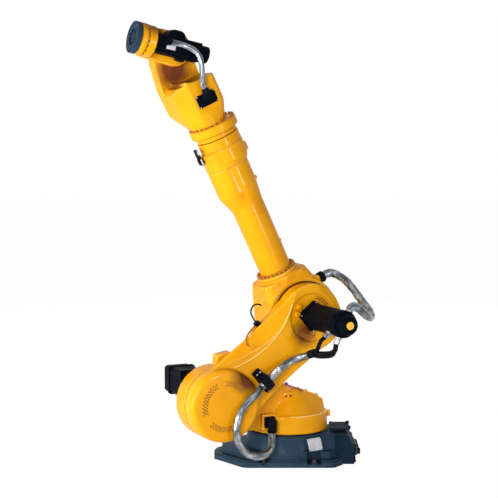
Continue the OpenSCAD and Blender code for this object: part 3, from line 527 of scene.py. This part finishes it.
def smooth_route(points, steps):
    """A smooth line through the points."""
    ends = [2 * points[0] - points[1], *points, 2 * points[-1] - points[-2]]
    line = []
    for a, b, c, d in zip(ends, ends[1:], ends[2:], ends[3:]):
        for i in range(steps):
            t = i / steps
            line.append(0.5 * (2 * b + (c - a) * t + (2 * a - 5 * b + 4 * c - d) * t ** 2
                               + (3 * b - a - 3 * c + d) * t ** 3))
    return [*line, points[-1]]


def tube_shape(line, radius_at, sides):
    """A closed tube along a line. radius_at gives the radius at a distance along it and an angle round it."""
    shape = bmesh.new()
    uv = shape.loops.layers.uv.new("along")
    side = Vector(FIRST_SIDE)
    rings, distance = [], 0.0
    for i, point in enumerate(line):
        way = (line[min(i + 1, len(line) - 1)] - line[max(i - 1, 0)]).normalized()
        side = (side - way * side.dot(way)).normalized()
        other = way.cross(side)
        if i:
            distance += (point - line[i - 1]).length
        ring = []
        for k in range(sides):
            angle = 2 * math.pi * k / sides
            out = math.cos(angle) * side + math.sin(angle) * other
            ring.append(shape.verts.new(point + out * radius_at(distance, angle)))
        rings.append((ring, distance))
    for (lower, start), (upper, stop) in zip(rings, rings[1:]):
        for k in range(sides):
            face = shape.faces.new((lower[k], lower[(k + 1) % sides], upper[(k + 1) % sides], upper[k]))
            face.smooth = True
            corners = ((k, start), (k + 1, start), (k + 1, stop), (k, stop))
            for loop, (turn, along) in zip(face.loops, corners):
                loop[uv].uv = (turn / sides * UV_ROUND, along * UV_ALONG)
    shape.faces.new(reversed(rings[0][0]))
    shape.faces.new(rings[-1][0])
    return shape


CONDUIT_DIAMETER = 0.044
ELBOW_CONDUIT_DIAMETER = 0.050
WRIST_CONDUIT_DIAMETER = 0.032
CABLE_DIAMETER = 0.010
LOWER_ROUTE = [(0.212, 0.212, 0.2137), (0.212, 0.212, 0.186), (0.222, 0.232, 0.150), (0.248, 0.262, 0.118),
               (0.296, 0.298, 0.104), (0.356, 0.324, 0.104), (0.418, 0.342, 0.122), (0.470, 0.352, 0.160),
               (0.504, 0.356, 0.212), (0.516, 0.354, 0.272), (0.506, 0.348, 0.334), (0.480, 0.342, 0.386),
               (0.448, 0.340, 0.430), (0.412, 0.342, 0.464), (0.372, 0.340, 0.492), (0.3363, 0.310, 0.5161),
               (0.3168, 0.310, 0.5317)]
ARM_ROUTE = [(0.276, 0.310, 0.5648), (0.2565, 0.310, 0.5805), (0.222, 0.302, 0.608), (0.176, 0.294, 0.636),
             (0.126, 0.292, 0.661), (0.076, 0.306, 0.679), (0.042, 0.344, 0.698), (0.026, 0.398, 0.718),
             (0.032, 0.450, 0.744), (0.042, 0.494, 0.776), (0.044, 0.524, 0.8102), (0.0209, 0.524, 0.829)]
ELBOW_ROUTE = [(-0.2101, 0.076, 1.1451), (-0.2351, 0.076, 1.157), (-0.262, 0.082, 1.160),
               (-0.288, 0.098, 1.150), (-0.310, 0.140, 1.130), (-0.326, 0.190, 1.100), (-0.336, 0.244, 1.062),
               (-0.343, 0.300, 1.020), (-0.342, 0.356, 0.992), (-0.338, 0.408, 0.970), (-0.330, 0.456, 0.946),
               (-0.312, 0.494, 0.932), (-0.284, 0.520, 0.934), (-0.252, 0.538, 0.950), (-0.220, 0.550, 0.974),
               (-0.190, 0.555, 0.998), (-0.1525, 0.5558, 1.0084), (-0.129, 0.5558, 0.9894)]
SENSOR_ROUTE = [(0.2145, 0.060, 0.9794), (0.246, 0.072, 0.989), (0.282, 0.098, 0.987), (0.310, 0.128, 0.974),
                (0.328, 0.154, 0.950), (0.325, 0.172, 0.926), (0.317, 0.178, 0.908), (0.3072, 0.178, 0.8954)]
BRACKET_ROUTE = [(0.313, 0.178, 0.872), (0.341, 0.194, 0.855), (0.373, 0.214, 0.833), (0.395, 0.230, 0.805),
                 (0.397, 0.240, 0.779), (0.383, 0.245, 0.761)]
WRIST_ROUTE = [(0.6219, 0.138, 2.2987), (0.6339, 0.138, 2.324), (0.637, 0.141, 2.366), (0.640, 0.142, 2.412),
               (0.645, 0.139, 2.454), (0.654, 0.135, 2.486), (0.672, 0.127, 2.512), (0.700, 0.112, 2.534),
               (0.736, 0.090, 2.552), (0.7737, 0.076, 2.5635), (0.803, 0.076, 2.5697)]
SLEEVE_POINTS = 8
CORD_STEPS = 10

# Node, route, diameter, depth of its crinkles, sides, bodies, finish, stiffness
CORDS = (
    ("lower_conduit", LOWER_ROUTE, CONDUIT_DIAMETER, 0.003, 24, ("turret", "lower_link"), "foil_sleeve", "medium"),
    ("arm_conduit", ARM_ROUTE[:SLEEVE_POINTS], CONDUIT_DIAMETER, 0.003, 24, ("lower_link",), "foil_sleeve", "medium"),
    ("elbow_conduit", ELBOW_ROUTE, ELBOW_CONDUIT_DIAMETER, 0.003, 24, ("upper_link", "lower_link"), "foil_sleeve",
     "medium"),
    ("wrist_conduit", WRIST_ROUTE, WRIST_CONDUIT_DIAMETER, 0.002, 24, ("wrist", "wrist_head"), "foil_sleeve", "medium"),
    ("sensor_cable", SENSOR_ROUTE, CABLE_DIAMETER, 0.0, 10, ("upper_link", "lower_link"), "dark_rubber", "limp"),
    ("bracket_cable", BRACKET_ROUTE, CABLE_DIAMETER, 0.0, 10, ("lower_link",), "brown_cable", "limp"),
)


def crinkled(diameter, depth, seed):
    """Radius of a sleeve whose skin rises and falls by about depth."""
    def radius_at(distance, angle):
        spot = Vector((math.cos(angle) * CRINKLES_ROUND, math.sin(angle) * CRINKLES_ROUND,
                       distance * CRINKLES_ALONG + seed))
        return diameter / 2 + depth * noise.fractal(spot, 0.8, 2.0, 3)
    return radius_at


def add_cord(node, route, diameter, depth, sides, bodies, finish, stiffness):
    line = smooth_route(led(route), CORD_STEPS)
    shape = tube_shape(line, crinkled(diameter, depth, len(node)), sides)
    mesh = bpy.data.meshes.new(node + "_sleeve")
    shape.to_mesh(mesh)
    shape.free()
    mesh.materials.append(finish)
    thing = bpy.data.objects.new(node + "_sleeve", mesh)
    bpy.context.collection.objects.link(thing)
    if len(bodies) == 2:
        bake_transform(thing)
    else:
        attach(thing, *bodies)
    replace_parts(thing, node)


def add_cords(finishes):
    for *facts, finish, stiffness in CORDS:
        add_cord(*facts, finishes[finish], stiffness)


# Details on each body
def screw_ring(kit, screws, place, count, pitch, head, first=0.0, step=None):
    """Screws on an arc in the xy plane of place. Angles are in degrees, head is (radius, height)."""
    angle_step = 360 / count if step is None else step
    kit.take(grown(screws, Count=count, Pitch_Radius=pitch, First_Angle=math.radians(first),
                   Angle_Step=math.radians(angle_step), Head_Radius=head[0], Head_Height=head[1],
                   Material=kit.finish), place)


def screw_corners(kit, screws, place, half_x, half_y, head):
    """Four screws at the corners of a rectangle."""
    pitch = math.hypot(half_x, half_y)
    corner = math.degrees(math.atan2(half_y, half_x))
    for first in (corner, -corner):
        screw_ring(kit, screws, place, 2, pitch, head, first, 180)


ANCHOR_X, ANCHOR_Y = 0.155, 0.262


def detail_base(finishes, screws):
    steel = Kit("base_screws", "base", "bright_steel", finishes["dark_steel"])
    pocket_floor, washer = 0.020, 0.004
    for x in (-ANCHOR_X, ANCHOR_X):
        for y in (-ANCHOR_Y, ANCHOR_Y):
            steel.lathe([(0.026, 0.0), (0.026, washer)], Matrix.Translation((x, y, pocket_floor)), 24)
    screw_corners(steel, screws, Matrix.Translation((0, 0, pocket_floor + washer)), ANCHOR_X, ANCHOR_Y, (0.018, 0.020))
    plate_turn, plate_tilt = 36, 22
    plate = at(turned(plate_turn, "Z"), 0, 0.276, 0.128) @ turned(plate_tilt, "X")
    screw_corners(steel, screws, at(plate, 0, 0.002, 0) @ FACING_NEAR, 0.047, 0.034, (0.0035, 0.0025))
    lid = Matrix.Translation((-0.324, 0, 0.201))
    screw_corners(steel, screws, lid, 0.050, 0.090, (0.006, 0.005))
    panel = Matrix.Translation((-0.414, 0, 0.062)) @ FACING_BACK
    screw_corners(steel, screws, panel, 0.046, 0.180, (0.005, 0.004))
    steel.piece()
    dark = Kit("base_dark_parts", "base", "black_plastic", finishes["dark_rubber"])
    socket_face, socket_half = -0.430, 0.038
    for y in (-0.110, 0.0):
        dark.block((socket_face - 0.014, y - socket_half, 0.044), (socket_face, y + socket_half, 0.080), Matrix(),
                   0.003)
    dark.lathe([(0.020, 0.0), (0.020, 0.016), (0.014, 0.018), (0.014, 0.004)],
               Matrix.Translation((socket_face, 0.105, 0.061)) @ FACING_BACK, 32)
    latch_half = 0.012
    for y in (-0.076, 0.076):
        dark.block((-0.390, y - latch_half, 0.196), (-0.372, y + latch_half, 0.212), Matrix(), 0.003)
    dark.piece()


HOOD_SLOPE = 20.38
TURN_MOTOR = (0.222, -0.050)
RIM_RADIUS = 0.2405
RIM_HEIGHT = 0.3005


def detail_turret(finishes, screws, ribs):
    bronze = Kit("turret_screws", "turret", "bright_steel", finishes["bronze_screw"])
    cover = at(at(turret, -0.200, 0, 0.374) @ turned(-HOOD_SLOPE, "Y"), 0.112, 0, 0.010)
    screw_corners(bronze, screws, cover, 0.070, 0.074, (0.007, 0.006))
    for x, z in ((0.020, 0.452), (-0.010, 0.443), (-0.036, 0.434)):
        screw_ring(bronze, screws, at(turret, x, 0.112, z), 1, 0.0, (0.009, 0.014))
    bronze.piece()
    motor_x, motor_y = TURN_MOTOR
    steel = Kit("turret_plugs", "turret", "bright_steel", finishes["bright_steel"])
    shoulder_motor = at(turret, 0.658, 0.060, 0.519) @ turned(180, "Z") @ FACING_NEAR
    screw_corners(steel, screws, at(shoulder_motor, 0, 0, 0.024), 0.080, 0.080, (0.006, 0.006))
    for aside in (-0.030, 0.030):
        steel.lathe([(0.014, 0.0), (0.014, 0.022), (0.011, 0.024), (0.011, 0.030)],
                    at(turret, motor_x + aside, motor_y, 0.621), 20)
    steel.piece()
    black = Kit("turret_fins", "turret", "black_motor", finishes["black_motor"])
    for facing, offset in ((FACING_NEAR, 0.068), (FACING_FAR, -0.068)):
        black.take(grown(ribs, Count=8, Pitch=0.013, Length=0.070, Width=0.006, Height=0.005,
                         Material=black.finish), at(turret, motor_x, motor_y + offset, 0.579) @ facing)
    black.lathe([(0.033, 0.014), (0.033, 0.026)], at(turret, 0.212, 0.172, 0.272) @ FACING_NEAR, 6)
    black.lathe([(0.032, -0.056), (0.032, -0.044)], at(turret, 0.212, 0.212, 0.272), 6)
    black.piece()
    violet = Kit("turret_violet_plug", "turret", "black_plastic", finishes["violet_plug"])
    violet.lathe([(0.010, 0.0), (0.010, 0.020), (0.007, 0.024)], at(turret, 0.071, 0.118, 0.474), 20)
    violet.piece()
    pad_face = 0.1505
    shade = Kit("turret_pad_holes", "turret", "black_plastic", finishes["socket_shadow"])
    for x in (0.056, 0.088):
        shade.lathe([(0.0075, 0.0), (0.0075, 0.0015), (0.005, 0.002)],
                    at(turret, x, pad_face, 0.418) @ FACING_NEAR, 20)
    shade.piece()
    yellow = Kit("turret_pad", "turret", "yellow_paint", finishes["yellow_paint"])
    yellow.block((0.036, 0.132, 0.391), (0.108, pad_face, 0.442), turret, 0.004)
    yellow.block((-0.266, -0.024, 0.262), (-0.238, 0.016, 0.298), Matrix(), 0.004)
    yellow.piece()
    # Painted highlight: a thin pale bead along the near side of the drum's top edge
    rubbed = Kit("turret_rubbed_rim", "turret", "yellow_paint", finishes["rubbed_edge"])
    rim = [(RIM_RADIUS * math.sin(math.radians(a)), RIM_RADIUS * math.cos(math.radians(a)), RIM_HEIGHT)
           for a in range(-62, 24, 6)]
    rubbed.rod(led(rim), 0.0032, 10)
    rubbed.piece()


# Screws on the shoulder cover and in the elbow recess: first angle and count of each group, angle step, pitch radii
COVER_GROUPS = ((116, 11), (41, 7), (228, 8))
COVER_STEP = 8
COVER_PITCHES = (0.126, 0.138, 0.150)
RECESS_GROUPS = ((34, 7), (-130, 8))
RECESS_STEP = 7
RECESS_PITCHES = (0.116, 0.130)
CREASE_CENTRE = (0.618, 0.427)
CREASE_ARC = 0.550
CREASE_SINK = 0.0035
# The lower arm's near face: its depth at the shoulder, and where along the arm and how far it comes nearer
FACE_DEPTH = 0.236
RISE_START = 0.335
RISE_LENGTH = 0.265
FACE_RISE = 0.014


def crease_point(angle):
    """A point of the lower arm's crease, which comes nearer as the face does towards the elbow."""
    x = CREASE_CENTRE[0] - CREASE_ARC * math.cos(math.radians(angle))
    z = CREASE_CENTRE[1] + CREASE_ARC * math.sin(math.radians(angle))
    nearer = min(1.0, max(0.0, (z - RISE_START) / RISE_LENGTH))
    return x, FACE_DEPTH + FACE_RISE * nearer - CREASE_SINK, z


def detail_lower_arm(finishes, screws):
    level_elbow = Matrix.Translation(elbow.to_translation()) @ turned(TURRET_TURN, "Z")
    bronze = Kit("lower_link_screws", "lower_link", "bright_steel", finishes["bronze_screw"])
    cover = at(shoulder, 0, 0.308, 0) @ FACING_NEAR
    for first, count in COVER_GROUPS:
        for row, pitch in enumerate(COVER_PITCHES):
            shift = row % 2
            screw_ring(bronze, screws, cover, count - shift, pitch, (0.0055, 0.003), first + COVER_STEP / 2 * shift,
                       COVER_STEP)
    recess = at(level_elbow, 0, 0.236, 0) @ FACING_NEAR
    for first, count in RECESS_GROUPS:
        for row, pitch in enumerate(RECESS_PITCHES):
            screw_ring(bronze, screws, recess, count - row, pitch, (0.0055, 0.004), first + RECESS_STEP / 2 * row,
                       RECESS_STEP)
    bronze.piece()
    yellow = Kit("lower_link_bosses", "lower_link", "yellow_paint", finishes["yellow_paint"])
    for x, z in ((0.050, 0.982), (0.062, 0.939)):
        yellow.lathe([(0.017, -0.016), (0.017, 0.010), (0.014, 0.014), (0.008, 0.014)],
                     at(turret, x, 0.250, z) @ FACING_NEAR, 32)
    yellow.piece()
    # Painted shadow: thin dark rings in the joint gaps at the elbow and at the shoulder
    gap_shadow = Kit("joint_gap_shadows", "lower_link", "black_plastic", finishes["socket_shadow"])
    for inner, outer, low, high, place in ((0.198, 0.214, -0.0026, 0.0, at(level_elbow, 0, 0.146, 0)),
                                           (0.2175, 0.2206, 0.1908, 0.1940, shoulder)):
        gap_shadow.lathe([(inner, low), (outer, low), (outer, high), (inner, high)], place @ FACING_NEAR, 96,
                   open_middle=True)
    gap_shadow.piece()
    # Painted highlight: a thin pale bead sunk along the lower arm's crease
    rubbed = Kit("lower_arm_rubbed_crease", "lower_link", "yellow_paint", finishes["rubbed_edge"])
    rubbed.rod(led([crease_point(angle) for angle in range(-27, 34, 3)], lower_arm), 0.0045, 12)
    rubbed.piece()


MOTOR_END = ((0.070, 0.343), (0.080, 0.344), (0.082, 0.348), (0.082, 0.372), (0.079, 0.374), (0.079, 0.380),
             (0.082, 0.382), (0.082, 0.402), (0.078, 0.409), (0.062, 0.412), (0.059, 0.416), (0.059, 0.456),
             (0.053, 0.468), (0.042, 0.472), (0.040, 0.475), (0.034, 0.475), (0.032, 0.470))
SECOND_LEAD = [(0.006, 0.460, 0.722), (-0.012, 0.540, 0.736), (-0.008, 0.600, 0.760), (0.001, 0.628, 0.782),
               (-0.0003, 0.630, 0.806)]
COIL_LENGTH = 0.085
COIL_PITCH = 0.0105
COIL_RADIUS = 0.0245
WIRE_RISE = 0.0022


def coiled(distance, angle):
    """Radius of the wire coil on the hose at the clamp."""
    return COIL_RADIUS + WIRE_RISE * math.cos(2 * math.pi * distance / COIL_PITCH)


def detail_elbow_motor(finishes, screws):
    """The motor's end, the clamp below it, and the leads from the foil sleeve to the motor's plugs."""
    motor = at(lower_arm, 0.008, 0.250, 0.784) @ FACING_NEAR
    motor_end = Kit("elbow_motor_end", "lower_link", "black_motor", finishes["black_motor"])
    motor_end.lathe(MOTOR_END, motor, 64)
    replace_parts(motor_end.piece(), "elbow_motor_cap")
    black = Kit("lower_link_black_parts", "lower_link", "black_plastic", finishes["dark_rubber"])
    steel = Kit("lower_link_steel_parts", "lower_link", "bright_steel", finishes["bright_steel"])
    clamp = at(lower_arm, -0.067, 0.236, 0.285)
    for foot in (-0.063, 0.063):
        black.block((foot - 0.010, 0.030, -0.020), (foot + 0.010, 0.040, 0.020), clamp, 0.002)
        for along in (-0.013, 0.013):
            screw_ring(steel, screws, at(clamp, foot, 0.040, along) @ FACING_NEAR, 1, 0.0, (0.006, 0.006))
    before_end, end = led(ARM_ROUTE[SLEEVE_POINTS - 2:SLEEVE_POINTS])
    way = (end - before_end).normalized()
    black.rod([end + way * along for along in (-0.035, -0.015, 0.012)], 0.025, 20)
    lead_start = end + way * 0.010
    black.rod([lead_start, *led(ARM_ROUTE[SLEEVE_POINTS:])], 0.013)
    second_lead = led(SECOND_LEAD)
    black.rod([lead_start, *second_lead], 0.015)
    beside = turret.to_3x3() @ Vector((0.008, 0.006, -0.020))

    def strand(share):
        return [point + beside * share for point in (lead_start, *second_lead[:3])] + second_lead[3:4]

    black.rod(strand(0.9), 0.010)
    black.piece()
    orange = Kit("lower_link_orange_lead", "lower_link", "brown_cable", finishes["orange_lead"])
    orange.rod(strand(1.0), 0.0042)
    orange.piece()
    hose = smooth_route(led(ARM_ROUTE[:4]), 24)
    coil = [point for point in hose if (point - hose[0]).length < COIL_LENGTH]
    steel.take_shape(tube_shape(coil, coiled, 24), Matrix())
    screw_corners(steel, screws, at(motor, 0, 0, 0.026), 0.0625, 0.0625, (0.005, 0.006))
    steel.piece()
    dot = Kit("elbow_motor_dot", "lower_link", "yellow_paint", finishes["yellow_plastic"])
    dot.lathe([(0.024, 0.468), (0.024, 0.4745), (0.022, 0.476), (0.008, 0.476)], motor, 40)
    dot.piece()


def detail_upper_link(finishes, screws):
    bronze = Kit("tube_flange_screws", "upper_link", "bright_steel", finishes["bronze_screw"])
    screw_ring(bronze, screws, at(upper_arm, 0.302, 0, 0) @ FACING_ALONG, 26, 0.117, (0.0095, 0.016))
    bronze.piece()
    yellow = Kit("tube_boss", "upper_link", "yellow_paint", finishes["yellow_paint"])
    yellow.lathe([(0.012, -0.010), (0.012, 0.012), (0.009, 0.015), (0.004, 0.015)], at(upper_arm, 0.887, 0, 0.114), 24)
    yellow.piece()
    black = Kit("elbow_gland_nuts", "upper_link", "black_plastic", finishes["dark_rubber"])
    gland = at(upper_arm, 0.140, 0.076, 0.204)
    black.lathe([(0.038, 0.004), (0.038, 0.014)], gland, 6)
    black.lathe([(0.033, 0.022), (0.036, 0.025), (0.036, 0.036), (0.033, 0.039)], gland, 32)
    black.block((1.120, -0.016, -0.178), (1.150, 0.016, -0.170), upper_arm, 0.003)
    black.piece()
    shade = Kit("elbow_casting_slot", "upper_link", "yellow_paint", finishes["socket_shadow"])
    shade.block((0.176, 0.136, 0.908), (0.212, 0.138, 0.922), turret, 0.0008)
    shade.piece()
    pale = Kit("head_connector_cap", "upper_link", "bare_plate", finishes["pale_label"])
    for start, stop in ((1.112, 1.150), (1.176, 1.206)):
        pale.block((start, 0.0235, -0.171), (stop, 0.0265, -0.161), upper_arm, 0.001)
    pale.piece()


def detail_wrist(finishes, screws):
    bronze = Kit("wrist_flange_screws", "wrist", "bright_steel", finishes["bronze_screw"])
    screw_ring(bronze, screws, at(upper_arm, 1.311, 0, 0) @ FACING_ALONG, 26, 0.1385, (0.0075, 0.011))
    bronze.piece()
    plate_face = 0.106
    steel = Kit("wrist_plate_screws", "wrist", "bright_steel", finishes["bright_steel"])
    plate = at(upper_arm, 1.472, plate_face, -0.005) @ FACING_NEAR
    screw_corners(steel, screws, plate, 0.033, 0.059, (0.004, 0.003))
    steel.piece()
    black = Kit("wrist_gland_parts", "wrist", "black_plastic", finishes["dark_rubber"])
    black.lathe([(0.024, 0.0), (0.024, 0.012)], at(upper_arm, 1.515, 0.138, -0.006) @ FACING_ALONG, 6)
    for x in (1.452, 1.488):
        for z in (0.030, 0.046):
            black.lathe([(0.0075, 0.0), (0.0075, 0.007), (0.0045, 0.0075), (0.0045, 0.003)],
                        at(upper_arm, x, plate_face, z) @ FACING_NEAR, 20)
    black.piece()
    yellow = Kit("wrist_far_cover", "wrist", "yellow_paint", finishes["yellow_paint"])
    far = at(wrist_centre, 0, -0.200, 0) @ FACING_FAR
    yellow.lathe([(0.098, -0.002), (0.098, 0.006), (0.094, 0.010)], far, 64)
    screw_ring(yellow, screws, at(far, 0, 0, 0.010), 12, 0.084, (0.006, 0.006))
    yellow.piece()


def detail_wrist_head(finishes, screws):
    bronze = Kit("gear_ring_screws", "wrist_head", "bright_steel", finishes["bronze_screw"])
    screw_ring(bronze, screws, at(head, 0.233, 0, 0) @ FACING_BACK, 18, 0.0875, (0.008, 0.0115))
    bronze.piece()
    black = Kit("tool_motor_parts", "wrist_head", "black_motor", finishes["dark_rubber"])
    black.block((-0.040, -0.020, -0.076), (0.012, 0.020, -0.056), head, 0.004)
    black.lathe([(0.022, 0.0), (0.022, 0.010)], at(head, 0.084, 0.076, 0.017) @ FACING_ALONG, 24)
    black.piece()
    pale = Kit("tool_motor_label", "wrist_head", "bare_plate", finishes["pale_label"])
    pale.block((0.042, 0.0565, -0.026), (0.100, 0.0585, 0.002), head, 0.0005)
    pale.piece()


FLANGE_HOLES = 12
FLANGE_PITCHES = (0.086, 0.066)


def detail_tool(finishes, screws):
    face = at(head, 0.300, 0, 0) @ FACING_ALONG
    shade = Kit("tool_flange_holes", "tool", "slate_paint", finishes["dark_rubber"])
    hole_step = 360 / FLANGE_HOLES
    for k in range(FLANGE_HOLES):
        shade.lathe([(0.0055, -0.001), (0.0055, 0.0006), (0.004, 0.0008)],
                    at(face @ turned(hole_step * (k + 0.5), "Z"), FLANGE_PITCHES[k % 2], 0, 0), 16)
    shade.piece()
    slate = Kit("tool_flange_insert", "tool", "slate_paint", finishes["slate_paint"])
    slate.lathe([(0.030, -0.008), (0.030, -0.004), (0.028, -0.003), (0.020, -0.003), (0.018, -0.007)], face, 48)
    screw_ring(slate, screws, at(face, 0, 0, -0.008), 6, 0.040, (0.005, 0.005))
    slate.piece()


def add_details(finishes):
    screws = make_screw_tree()
    detail_base(finishes, screws)
    detail_turret(finishes, screws, make_rib_tree())
    detail_lower_arm(finishes, screws)
    detail_elbow_motor(finishes, screws)
    detail_upper_link(finishes, screws)
    detail_wrist(finishes, screws)
    detail_wrist_head(finishes, screws)
    detail_tool(finishes, screws)


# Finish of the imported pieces
CAST_VOXEL = {"turret_casting": 0.006, "elbow_casting": 0.006, "wrist_housing": 0.005, "head_casting": 0.0045,
              "lower_arm": 0.006, "arm_tube": 0.0055, "tube_head": 0.0045}
FINER_FINISH = {"connector_box": "dark_slate_paint", "box_lid": "dark_slate_paint", "panel_sockets": "dark_steel",
                "shoulder_cover": "cover_paint", **{name: "yellow_cast" for name in CAST_VOXEL},
                "wrist_housing": "wrist_cast", "lower_arm": "arm_cast", "head_casting": "head_cast",
                "gear_ring": "head_cast"}
CAST_BLEND = 0.5
CAST_SMOOTHING = 3
EDGE_ANGLE = 32
FLAT_ANGLE = 1
MACHINED_EDGE = 0.0025
SKIN_WELD = 2e-5


def make_shading_tree():
    """Joins loose triangles and keeps only real edges sharp."""
    tree, inlet, outlet = start_tree("joined_skin", [])
    joined = place_node(tree, "GeometryNodeMergeByDistance", {"Geometry": inlet.outputs[0], "Distance": SKIN_WELD})
    smooth = place_node(tree, "GeometryNodeSetShadeSmooth", {"Geometry": joined.outputs[0]}, domain="FACE")
    angle = place_node(tree, "GeometryNodeInputMeshEdgeAngle").outputs["Unsigned Angle"]
    is_edge = place_node(tree, "FunctionNodeCompare", {0: angle, 1: math.radians(EDGE_ANGLE)},
                         data_type="FLOAT", operation="GREATER_THAN")
    sharp = place_node(tree, "GeometryNodeSetShadeSmooth",
                       {"Geometry": smooth.outputs[0], "Selection": is_edge.outputs[0], "Shade Smooth": False},
                       domain="EDGE")
    tree.links.new(sharp.outputs[0], outlet.inputs[0])
    return tree


def dress_nodes(finishes):
    shading = make_shading_tree()
    for name, thing in nodes.items():
        thing.data.materials.clear()
        thing.data.materials.append(finishes[FINER_FINISH.get(name, slot_of[name])])
        if name in CAST_VOXEL:
            skin = thing.modifiers.new("cast skin", "REMESH")
            skin.mode = "VOXEL"
            skin.voxel_size = CAST_VOXEL[name]
            skin.use_smooth_shade = True
            blend = thing.modifiers.new("cast blends", "SMOOTH")
            blend.factor = CAST_BLEND
            blend.iterations = CAST_SMOOTHING
        else:
            thing.modifiers.new("joined skin", "NODES").node_group = shading
            flat = thing.modifiers.new("flat faces", "DECIMATE")
            flat.decimate_type = "DISSOLVE"
            flat.angle_limit = math.radians(FLAT_ANGLE)
            edge = thing.modifiers.new("broken edges", "BEVEL")
            edge.width = MACHINED_EDGE
            edge.segments = 2
            edge.limit_method = "ANGLE"
            edge.angle_limit = math.radians(EDGE_ANGLE)
            edge.harden_normals = True


# Floor and light
FLOOR_SIZE = 60
FLOOR_WHITE = 0.955
FLOOR_GLOW = 1.02
SKY_FILL = 0.11
# Name, place, aim, size and power of each lamp
LAMPS = (
    ("key", (3.8, 2.0, 0.9), (0.3, 0, 0.9), (1.4, 1.6), 132),
    ("front", (2.2, 8.2, 2.6), (0, 0, 1.2), (2.4, 2.4), 450),
    ("back", (-2.6, -6.6, 3.4), (0, 0, 1.2), (3.0, 3.0), 420),
    ("side", (-4.2, 5.6, 0.9), (0.2, 0, 1.3), (0.5, 1.4), 105),
)
UNMIRRORED_LAMP = "back"


def rays_that_look(tree):
    """1 for camera, glossy and transmission rays, and 0 for rays that carry light."""
    path = tree.nodes.new("ShaderNodeLightPath")
    seen = path.outputs["Is Camera Ray"]
    for ray in ("Is Glossy Ray", "Is Transmission Ray"):
        adder = tree.nodes.new("ShaderNodeMath")
        adder.use_clamp = True
        tree.links.new(seen, adder.inputs[0])
        tree.links.new(path.outputs[ray], adder.inputs[1])
        seen = adder.outputs[0]
    return seen


def add_floor():
    bpy.ops.mesh.primitive_plane_add(size=FLOOR_SIZE)
    floor = bpy.context.object
    floor.name = "floor"
    finish = Finish("pale_floor")
    finish.set(Base_Color=(0.80, 0.80, 0.81, 1), Roughness=0.6, Specular_IOR_Level=0.1)
    glow = finish.add("ShaderNodeEmission")
    glow.inputs["Strength"].default_value = FLOOR_GLOW
    share = finish.add("ShaderNodeMath", operation="MULTIPLY")
    share.inputs[1].default_value = FLOOR_WHITE
    mixer = finish.add("ShaderNodeMixShader")
    finish.link(rays_that_look(finish.tree), share.inputs[0])
    finish.link(share.outputs[0], mixer.inputs[0])
    finish.link(finish.shader.outputs[0], mixer.inputs[1])
    finish.link(glow.outputs[0], mixer.inputs[2])
    finish.link(mixer.outputs[0], finish.tree.nodes["Material Output"].inputs["Surface"])
    floor.data.materials.append(finish.material)


def add_lamp(name, place, aim, size, power):
    data = bpy.data.lights.new(name, "AREA")
    data.shape = "RECTANGLE"
    data.size, data.size_y = size
    data.energy = power
    lamp = bpy.data.objects.new(name, data)
    lamp.location = place
    lamp.rotation_euler = (Vector(aim) - Vector(place)).to_track_quat("-Z", "Y").to_euler()
    lamp.visible_glossy = name != UNMIRRORED_LAMP
    bpy.context.collection.objects.link(lamp)


def add_light():
    """White surround where it is seen, a dim even fill as light, and the lamps."""
    world = bpy.data.worlds.new("studio")
    bpy.context.scene.world = world
    world.use_nodes = True
    tree = world.node_tree
    fill = tree.nodes["Background"]
    fill.inputs["Color"].default_value = (1, 1, 1, 1)
    fill.inputs["Strength"].default_value = SKY_FILL
    white = tree.nodes.new("ShaderNodeBackground")
    white.inputs["Color"].default_value = (1, 1, 1, 1)
    mixer = tree.nodes.new("ShaderNodeMixShader")
    tree.links.new(rays_that_look(tree), mixer.inputs[0])
    tree.links.new(fill.outputs[0], mixer.inputs[1])
    tree.links.new(white.outputs[0], mixer.inputs[2])
    tree.links.new(mixer.outputs[0], tree.nodes["World Output"].inputs["Surface"])
    for lamp in LAMPS:
        add_lamp(*lamp)
    bpy.context.scene.view_settings.view_transform = "Standard"


add_camera()
finishes = make_finishes()
add_cords(finishes)
add_details(finishes)
dress_nodes(finishes)
add_floor()
add_light()
